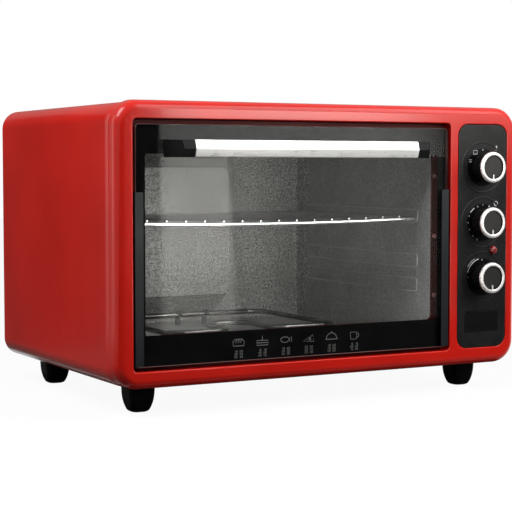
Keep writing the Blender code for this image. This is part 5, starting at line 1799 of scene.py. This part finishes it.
@dataclass
class DialPrint:
    """Marks round one knob: a faint ring, a darker disc that is painted shade of the dished recess, dots
    and the knob's own signs.
    """

    layout: Layout
    name: str
    z: float
    dots: tuple[tuple[float, float, float], ...] = ()
    ring_radius: float = 0.0300
    ring_width: float = 0.0011
    ring_height: float = 0.0003
    ring_foot: float = 0.0002
    field_radius: float = 0.0225
    field_share: float = 0.6
    height: float = 0.00012
    sunk: float = 0.00002

    def flat(self, form: Form, points: Iterable[Sequence[float]], share: float = 1.0) -> None:
        """Add a flat mark.

        Args:
            form: the mesh.
            points: its outline, beside the knob's axis.
            share: share of the print's height that it takes.
        """
        ring = [(self.layout.panel_x + u, self.z + v) for u, v in points]
        prism(form, ring, self.sunk, -self.height * share)

    def disc(self, form: Form, dx: float, dz: float, radius: float) -> None:
        """Add a dot beside the knob's axis."""
        self.flat(form, [(dx + u, dz + v) for u, v in circle(radius, 18)])

    def bar(self, form: Form, start: Point2, end: Point2, width: float) -> None:
        """Add a straight mark between two places beside the knob's axis."""
        first, last = Vector(start), Vector(end)
        side = (last - first).normalized()
        side = Vector((side.y, -side.x)) * width / 2
        self.flat(form, [first + side, last + side, last - side, first - side])

    def band(self, form: Form, radius: float, start: float, turn: float, widths: Point2) -> None:
        """Add a curved mark round the knob's axis.

        Args:
            form: the mesh.
            radius: radius of its inner edge.
            start: angle of its start, in degrees from the right.
            turn: angle to its end, in degrees.
            widths: width at its start and at its end.
        """
        steps = max(6, int(abs(turn) / 4))
        inner, outer = [], []
        for step in range(steps + 1):
            angle = math.radians(start + turn * step / steps)
            width = widths[0] + (widths[1] - widths[0]) * step / steps
            way = Vector((math.cos(angle), math.sin(angle)))
            inner.append(way * radius)
            outer.append(way * (radius + width))
        self.flat(form, [*inner, *reversed(outer)])

    def loop(self, form: Form, dx: float, dz: float, radius: float, width: float) -> None:
        """Add a round line beside the knob's axis."""
        x, z, half = self.layout.panel_x + dx, self.z + dz, width / 2

        def outline(grow: float) -> list[Point2]:
            """Return the line's middle, grown."""
            return [(x + u, z + v) for u, v in circle(radius + grow, 72)]

        course = ((-half, self.sunk), (half, self.sunk), (half, -self.height), (-half, -self.height))
        skinned(form, rings_at(form, outline, course), True)

    def bead(self) -> Form:
        """Return the form of the faint ring round the dial."""
        form = bmesh.new()
        wide, foot = self.ring_width, -self.ring_foot
        arch = swell(wide, self.ring_height, 2 * QUARTER, 8)
        profile = ((-wide, foot), (wide, foot), *arch, (-wide, foot))
        profile = [(self.ring_radius + u, v) for u, v in profile]
        lathe(form, profile, (self.layout.panel_x, 0.0, self.z), 96)
        return form

    def _marks(self, form: Form) -> None:
        """Add the dial's own signs: heat signs, a ring with a stroke, or two wedges."""
        if self.name == "function":
            left, low, right, high, inset = -0.0140, 0.0155, -0.0084, 0.0201, 0.0012
            bars = [
                ((0.0203, 0.0205), (0.0203, 0.0259), 0.0015), ((left, low), (right, low), 0.0004),
                ((right, low), (right, high), 0.0004), ((right, high), (left, high), 0.0004),
                ((left, high), (left, low), 0.0004),
                ((left + inset, low + inset), (right - inset, low + inset), 0.0004),
                *(((-0.0203, rise), (-0.0163, rise), 0.0006) for rise in (0.0066, 0.0090)),
            ]
            for start, end, width in bars:
                self.bar(form, start, end, width)
        elif self.name == "thermostat":
            self.loop(form, 0.0201, 0.0223, 0.0026, 0.0008)
            self.bar(form, (-0.0180, 0.0120), (-0.0122, 0.0172), 0.0011)
        else:
            self.band(form, 0.0217, 165.0, -62.0, (0.0004, 0.0012))
            self.band(form, 0.0244, 150.0, -34.0, (0.0004, 0.0006))

    def build(self, bench: Bench) -> None:
        """Set the dial's marks on the oven."""
        bench.piece(f"{self.name}_dial_ring", self.bead(), Finishes.PANEL, Body.OVEN, sharp=50.0)
        # Darker disc round the knob: painted shade of the dished recess.
        ground = bmesh.new()
        self.flat(ground, circle(self.field_radius, 72), self.field_share)
        bench.piece(f"{self.name}_dial_field", ground, Finishes.FIELD, Body.OVEN, sharp=30.0)
        form = bmesh.new()
        for dx, dz, radius in self.dots:
            self.disc(form, dx, dz, radius)
        self._marks(form)
        bench.piece(f"{self.name}_dial_marks", form, Finishes.WHITE_PRINT, Body.OVEN, sharp=30.0)


@dataclass
class Knob:
    """Black knob with a scalloped bright ring, a recessed face and a pointer."""

    layout: Layout
    name: str
    z: float
    body: Body
    height: float = 0.0224
    recess: float = 0.0020
    ring_depth: float = 0.0080
    bright_depth: float = 0.0030
    ring_inner: float = 0.0140
    ring_outer: float = 0.0185
    flutes: int = 50
    flute_depth: float = 0.00042
    flute_band: float = 0.0011
    gap: float = 0.0003
    skirt: float = 0.0160
    waist: float = 0.0170
    bore: float = 0.0034
    bore_depth: float = 0.0130
    foot: float = 0.0008
    pointer_width: float = 0.0015
    pointer_start: float = 0.0085
    pointer_flare: float = 0.0016
    pointer_lift: float = 0.0002
    pointer_thickness: float = 0.0010
    face_band: float = 0.0001

    def centre(self) -> Point3:
        """Return the foot of the knob's axis."""
        return (self.layout.panel_x, 0.0, self.z)

    def core(self) -> Form:
        """Return the black body's form, its face a second finish."""
        form = bmesh.new()
        face = self.height - self.recess
        seat = self.height - self.ring_depth - self.gap
        neck = self.ring_inner - self.gap
        profile = [
            (0.0, face), (neck - 0.0005, face), (neck, face - 0.0004), (neck, seat),
            (self.waist - 0.0005, seat), (self.waist, seat - 0.0005), (self.waist - 0.0003, 0.006),
            (self.skirt + 0.0001, 0.0020), (self.skirt, self.foot + 0.0004),
            (self.skirt - 0.0004, self.foot), (self.bore, self.foot), (self.bore, self.bore_depth),
            (0.0, self.bore_depth),
        ]
        lathe(form, profile, self.centre(), 72)
        top = min(form.verts, key=lambda vert: vert.co.y).co.y
        for each in form.faces:
            if each.calc_center_median().y < top + self.face_band:
                each.material_index = 1
        return form

    def _scallop(self, angle: float, radius: float) -> float:
        """Return how far the ring's rim is drawn in at an angle."""
        if radius < self.ring_outer - self.flute_band:
            return 0.0
        wave = abs(math.sin(self.flutes * angle / 2))
        return -self.flute_depth * (1.0 - wave)

    def ring(self) -> Form:
        """Return the form of the bright ring and its pointer."""
        form = bmesh.new()
        high, low = self.height, self.height - self.ring_depth
        inner, outer = self.ring_inner, self.ring_outer
        profile = [
            (inner, high - 0.0010), (inner + 0.0004, high - 0.0003), (inner + 0.0012, high),
            (outer - 0.0022, high - 0.0001), (outer - 0.0010, high - 0.0006),
            (outer - 0.0003, high - 0.0015), (outer, high - 0.0026), (outer, high - 0.0031),
            (outer, low + 0.0004), (outer - 0.0004, low), (inner, low), (inner, high - 0.0010),
        ]
        lathe(form, profile, self.centre(), self.flutes * 8, scallop=self._scallop)
        bmesh.ops.remove_doubles(form, verts=form.verts, dist=WELD)
        half, flare = self.pointer_width / 2, self.pointer_flare
        face = self.height - self.recess + self.pointer_lift
        right = [
            (half, -self.pointer_start), (half, -inner + 0.0016), (half + flare * 0.3, -inner + 0.0005),
            (half + flare, -inner - 0.0001), (half + flare, -inner - 0.0010),
        ]
        outline = [*right, *((-u, v) for u, v in reversed(right))]
        bar = bmesh.new()
        ring = [(self.layout.panel_x + u, self.z + v) for u, v in outline]
        prism(bar, ring, -face, -face - self.pointer_thickness)
        mesh = settle(bar, "scratch_pointer")
        form.from_mesh(mesh)
        bpy.data.meshes.remove(mesh)
        for each in form.faces:
            if each.calc_center_median().y > -self.height + self.bright_depth:
                each.material_index = 1
        return form

    def build(self, bench: Bench) -> None:
        """Set the knob on its body and dress what it turns."""
        name = self.name
        pieces = (
            ("core", self.core(), Finishes.BLACK, "knob", 38.0, Finishes.FACE),
            ("ring", self.ring(), Finishes.RING, "knob_ring", 50.0, Finishes.BLACK),
        )
        for word, form, finish, node, sharp, second in pieces:
            stands_for = (f"{name}_{node}",)
            bench.piece(f"{name}_{word}", form, finish, self.body, stands_for, sharp=sharp, more=(second,))
        bench.dress(Finishes.SCREW, f"{name}_shaft")


@dataclass
class Fasteners:
    """Screws of the flange and of the rear cover, and the fittings behind."""

    layout: Layout
    head: float = 0.0029
    head_height: float = 0.0020
    shank: float = 0.0015
    length: float = 0.0070
    rim_share: float = 0.25
    tip: Stops = ((0.0, 0.0), (0.5, 0.0002), (1.0, 0.0012))
    cross: float = 0.0018
    cross_width: float = 0.0005
    cross_depth: Point2 = (0.0009, 0.004)
    seat_gap: float = 0.0003
    flange_inset: float = 0.0040
    flange_pitch: float = 0.0710
    rear_inset: float = 0.0135
    rear_span: float = 0.190

    def screw(self, centre: Point3, outward: float) -> Form:
        """Build a screw with a domed head and a cross recess.

        Args:
            centre: middle of its seat.
            outward: -1 for a head at the front, 1 for one at the back.

        Returns:
            The form.
        """
        form = bmesh.new()
        foot = self.head_height * self.rim_share
        dome = swell(self.head, self.head_height - foot, QUARTER, 8)
        profile = [
            *((self.shank * share, rise - self.length) for share, rise in self.tip), (self.shank, 0.0),
            (self.head, 0.0), *((radius, foot + rise) for radius, rise in dome),
        ]
        lathe(form, profile, centre, 28, (0.0, outward, 0.0))
        x, y, z = centre
        floor, top = (y + outward * depth for depth in self.cross_depth)
        for wide, tall in ((self.cross, self.cross_width), (self.cross_width, self.cross)):
            cut = bmesh.new()
            corners = ((-wide, -tall), (wide, -tall), (wide, tall), (-wide, tall))
            prism(cut, [(x + u, z + v) for u, v in corners], floor, top)
            form = combined(form, cut, "DIFFERENCE")
        return form

    def build(self, bench: Bench) -> None:
        """Set the screws on the oven and dress the fittings."""
        near, far = self.layout.flange_front - self.seat_gap, self.layout.depth + self.seat_gap
        pitch, half = self.flange_pitch, self.rear_span / 2
        # Flange screws take the darker reddish finish: partly red paint, partly painted shade.
        front = (grown(self.layout.mouth, self.flange_inset), near, -1.0, Finishes.FLANGE_SCREW_PAINT_AND_SHADE)
        rear = (grown(self.layout.case, -self.rear_inset), far, 1.0, Finishes.SCREW)
        groups = (
            ("flange", *front, (("low", -pitch), ("middle", 0.0), ("high", pitch))),
            ("rear", *rear, (("low", -half), ("high", half))),
        )
        for group, (left, low, right, high), y, outward, finish, rows in groups:
            for side, x in (("left", left), ("right", right)):
                for row, rise in rows:
                    node = f"{group}_screw_{side}_{row}"
                    form = self.screw((x, y, (low + high) / 2 + rise), outward)
                    bench.piece(f"{node}_head", form, finish, Body.OVEN, (node,), sharp=35.0)
        fittings = ("function_switch", "thermostat", "timer", "terminal_block", "indicator_lamp")
        bench.dress(Finishes.CERAMIC, *fittings)
        bench.dress(Finishes.RUBBER, "cord_inlet")


def sheet(name: str, corners: Sequence[Any], material: bpy.types.Material) -> bpy.types.Object:
    """Return a flat sheet with four corners, linked to the scene."""
    form = bmesh.new()
    form.faces.new([form.verts.new(corner) for corner in corners])
    mesh = settle(form, name)
    mesh.materials.append(material)
    return linked(name, mesh)


@dataclass(frozen=True)
class Card:
    """Softbox front or flag that only glossy surfaces mirror, with a fade along its width and height."""

    name: str
    corner: Point3
    across: Point3
    rise: Point3
    strength: float
    width_fade: Stops = ((0.0, 1.0), (1.0, 1.0))
    height_fade: Stops = ((0.0, 1.0), (1.0, 1.0))
    warmth: ClassVar[Colour] = (1.0, 0.97, 0.92)

    def _share(self, tree: NodeTree, side: Point3, other: Point3) -> Socket:
        """Find the share of one side at which a point of the card lies.

        Args:
            tree: the material.
            side: the side's vector.
            other: the vector of the card's other side.

        Returns:
            The share.
        """
        away = tree.vector("SUBTRACT", tree.place(), self.corner)
        way, cross = Vector(side), Vector(other)
        square = way - cross * (way.dot(cross) / cross.length_squared)
        return tree.vector("DOT_PRODUCT", away, tuple(square / square.dot(way)), "Value")

    def build(self) -> None:
        """Set the card in the studio."""
        material, tree = new_material(f"{self.name}_glow")
        wide = tree.ramp(self._share(tree, self.across, self.rise), self.width_fade)
        high = tree.ramp(self._share(tree, self.rise, self.across), self.height_fade)
        glow = {0: self.warmth, "Scale": wide * high * self.strength}
        colour = tree.add("ShaderNodeVectorMath", {"operation": "SCALE"}, glow)
        tree.finish(tree.add("ShaderNodeEmission", None, {"Color": colour}))
        foot, way, rise = Vector(self.corner), Vector(self.across), Vector(self.rise)
        card = sheet(self.name, (foot, foot + way, foot + way + rise, foot + rise), material)
        for rays in ("camera", "diffuse", "transmission", "volume_scatter", "shadow"):
            setattr(card, f"visible_{rays}", False)


@dataclass(frozen=True)
class Lamp:
    """Soft lamp: where it stands, what it points at, its size and watts, and whether gloss shows it."""

    name: str
    place: Point3
    target: Point3
    size: Point2
    power: float
    mirrored: bool = True

    def build(self) -> None:
        """Set the lamp in the studio."""
        light = bpy.data.lights.new(self.name, "AREA")
        light.shape = "RECTANGLE"
        light.size, light.size_y = self.size
        light.energy = self.power
        lamp = linked(self.name, light)
        lamp.visible_glossy = self.mirrored
        lamp.location = self.place
        way = Vector(self.target) - Vector(self.place)
        lamp.rotation_euler = way.to_track_quat("-Z", "Y").to_euler()


@dataclass
class Studio:
    """Pale floor, plain white surround, soft lamps and the camera."""

    camera_place: Point3 = (-0.8857, -1.61275, 0.2685)
    camera_pitch: float = 3.41
    camera_yaw: float = 28.69
    lens: float = 104.77
    sensor: float = 36.0
    clip_start: float = 0.05
    floor_size: float = 12.0
    floor_grey: float = 0.8
    floor_bounce: float = 0.12
    surround: float = 0.07
    floor_glow: float = 0.94
    lamps: tuple[Lamp, ...] = (
        Lamp("top_box", (0.55, -0.80, 1.05), (0.05, 0.0, 0.2), (0.9, 0.7), 9.8),
        Lamp("left_box", (-1.0, -0.25, 1.20), (-0.25, 0.0, 0.25), (0.7, 0.7), 19.0),
        Lamp("front_box", (1.25, -1.25, 0.85), (0.05, 0.0, 0.17), (0.8, 0.8), 19.0, False),
    )
    cards: tuple[Card, ...] = (
        Card(
            "low_card", (-0.70, -0.32, 0.002), (1.50, 0.0, 0.0), (0.1194, -0.2565, 0.2822), 15.0,
            (
                (0.0, 0.005), (0.3735, 0.005), (0.3755, 0.98), (0.4425, 1.06), (0.4440, 0.20),
                (0.455, 0.34), (0.467, 0.42), (0.4885, 0.18), (0.52, 0.10), (0.60, 0.16), (0.66, 0.08),
                (0.69, 0.02), (1.0, 0.02),
            ),
            ((0.0, 0.0), (0.222, 0.0), (0.232, 0.60), (0.42, 0.58), (0.52, 1.0), (1.0, 1.0)),
        ),
        Card(
            "high_card", (-0.5806, -0.5765, 0.2842), (1.50, 0.0, 0.0), (0.1134, -0.2435, 0.2678), 8.5,
            (
                (0.0, 0.01), (0.3735, 0.01), (0.3755, 0.90), (0.50, 1.0), (0.60, 0.98), (0.65, 0.78),
                (0.69, 0.30), (0.8, 0.2), (1.0, 0.2),
            ),
            ((0.0, 0.95), (0.15, 0.95), (0.21, 1.9), (1.0, 1.9)),
        ),
        Card("bar_flag", (-0.80, -0.24, 0.1962), (1.40, 0.0, 0.0), (0.0, -0.28, -0.0134), 0.5),
        Card(
            "front_flag", (-0.70, -0.31, 0.001), (1.50, 0.0, 0.0), (0.0, 0.12, 0.0), 1.0,
            ((0.0, 0.05), (0.35, 0.05), (1.0, 0.7)),
        ),
        Card(
            "side_flag", (-0.30, 0.42, 0.002), (-0.34, 0.0, 0.0), (0.0, 0.0, 0.5), 1.0,
            ((0.0, 0.08), (0.35, 0.04), (0.58, 0.05), (0.72, 0.2), (0.85, 0.35), (1.0, 0.5)),
            ((0.0, 1.6), (0.12, 1.0), (1.0, 1.0)),
        ),
        Card(
            "side_floor_flag", (-0.255, 0.50, 0.001), (-0.60, 0.0, 0.0), (0.0, -0.85, 0.0), 0.30,
            ((0.0, 0.5), (0.3, 0.7), (1.0, 1.6)), ((0.0, 0.8), (1.0, 1.0)),
        ),
        Card("under_flag", (-0.25, -0.185, 0.001), (0.53, 0.0, 0.0), (0.0, 0.38, 0.0), 0.05),
        Card(
            "left_card", (-0.75, 0.62, 0.002), (-0.42, -0.42, 0.0), (0.0, 0.0, 0.8), 3.0,
            ((0.0, 0.3), (0.3, 1.0), (0.7, 1.0), (1.0, 0.3)), ((0.0, 0.4), (0.4, 0.8), (1.0, 1.0)),
        ),
        Card(
            "back_flag", (-2.2, 1.3, 0.05), (4.2, 0.0, 0.0), (0.0, 0.0, 2.4), 1.0,
            height_fade=((0.0, 0.3), (0.25, 0.25), (0.6, 0.5), (1.0, 1.0)),
        ),
    )

    @staticmethod
    def _seen(tree: NodeTree) -> Socket:
        """Return 1 for rays that show the background: to the camera, in mirrors and through glass."""
        kinds = ("Is Camera Ray", "Is Glossy Ray", "Is Transmission Ray")
        camera, mirrored, through = (tree.add("ShaderNodeLightPath", None, None, kind) for kind in kinds)
        return camera.most(mirrored).most(through)

    def _surround_world(self) -> None:
        """Make the world: white to the camera, in mirrors and through glass, plainer as light."""
        world = bpy.data.worlds.new("studio_surround")
        world.use_nodes = True
        bpy.context.scene.world = world
        tree = NodeTree(world.node_tree)
        strength = self.surround + self._seen(tree) * (1.0 - self.surround)
        light = tree.add("ShaderNodeBackground", None, {"Color": WHITE, "Strength": strength})
        tree.finish(light, "ShaderNodeOutputWorld")

    def _floor(self) -> None:
        """Make the floor, white to the camera but for the oven's soft shadow."""
        material, tree = new_material("floor_paper")
        bounce = tree.add("ShaderNodeLightPath", None, None, "Is Diffuse Ray")
        grey = tree.mix(bounce, (self.floor_grey,) * 3, (self.floor_bounce,) * 3)
        paper = tree.add("ShaderNodeBsdfDiffuse", None, {"Color": grey})
        glow = tree.add("ShaderNodeEmission", None, {"Color": WHITE})
        share = self._seen(tree) * self.floor_glow
        tree.finish(tree.add("ShaderNodeMixShader", None, {0: share, 1: paper, 2: glow}))
        half = self.floor_size / 2
        corners = ((-half, -half, 0.0), (half, -half, 0.0), (half, half, 0.0), (-half, half, 0.0))
        floor = sheet("studio_floor", corners, material)

    def _camera(self) -> None:
        """Set the camera at the photograph's viewpoint."""
        data = bpy.data.cameras.new("view")
        data.lens = self.lens
        data.sensor_width = self.sensor
        data.clip_start = self.clip_start
        camera = linked("view", data)
        camera.location = self.camera_place
        turn, pitch = math.radians(self.camera_yaw), math.radians(self.camera_pitch)
        camera.rotation_euler = (QUARTER - pitch, 0.0, -turn)
        bpy.context.scene.camera = camera

    def build(self) -> None:
        """Set up the studio: the lamps first, then the cards and flags that only gloss mirrors."""
        self._surround_world()
        self._floor()
        for each in (*self.lamps, *self.cards):
            each.build()
        self._camera()
        bpy.context.scene.view_settings.view_transform = "Standard"


def clear_start_scene() -> None:
    """Remove what a new file holds."""
    for item in list(bpy.data.objects):
        bpy.data.objects.remove(item, do_unlink=True)


def main() -> None:
    """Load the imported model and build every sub-assembly on it."""
    logging.basicConfig(level=logging.INFO, format="%(name)s: %(message)s")
    clear_start_scene()
    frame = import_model()
    bench = Bench(frame["nodes"])
    layout = Layout()
    assemblies = [
        FrontBezel(layout), OuterCase(layout), CavityLiner(layout),
        Heater(layout, "lower_heater", 0.0470, 0.0320), Heater(layout, "upper_heater", 0.2670, 0.2820),
        WireRack(layout), Feet(layout), Door(layout), DoorTable(), ControlPanel(layout),
    ]
    thermostat_dots = (
        (-0.0070, 0.0190, 0.0006), (0.0007, 0.0210, 0.0007), (0.0100, 0.0190, 0.0009),
        (-0.0195, 0.0079, 0.0006), (-0.0210, 0.0, 0.0006), (-0.0190, -0.0085, 0.0007),
        (-0.0139, -0.0161, 0.0007), (-0.0075, -0.0206, 0.0008),
    )
    controls = (
        ("function", 0.2378, Body.FUNCTION, ((0.0, 0.0210, 0.0007),)),
        ("thermostat", 0.1719, Body.THERMOSTAT, thermostat_dots),
        ("timer", 0.1060, Body.TIMER, ((0.0, 0.0210, 0.0007), (-0.0210, 0.0, 0.0005))),
    )
    assemblies += [DialPrint(layout, name, z, dots) for name, z, _, dots in controls]
    assemblies += [Knob(layout, name, z, body) for name, z, body, _ in controls]
    assemblies.append(Fasteners(layout))
    for assembly in assemblies:
        assembly.build(bench)
    Studio().build()


if __name__ == "__main__":
    main()
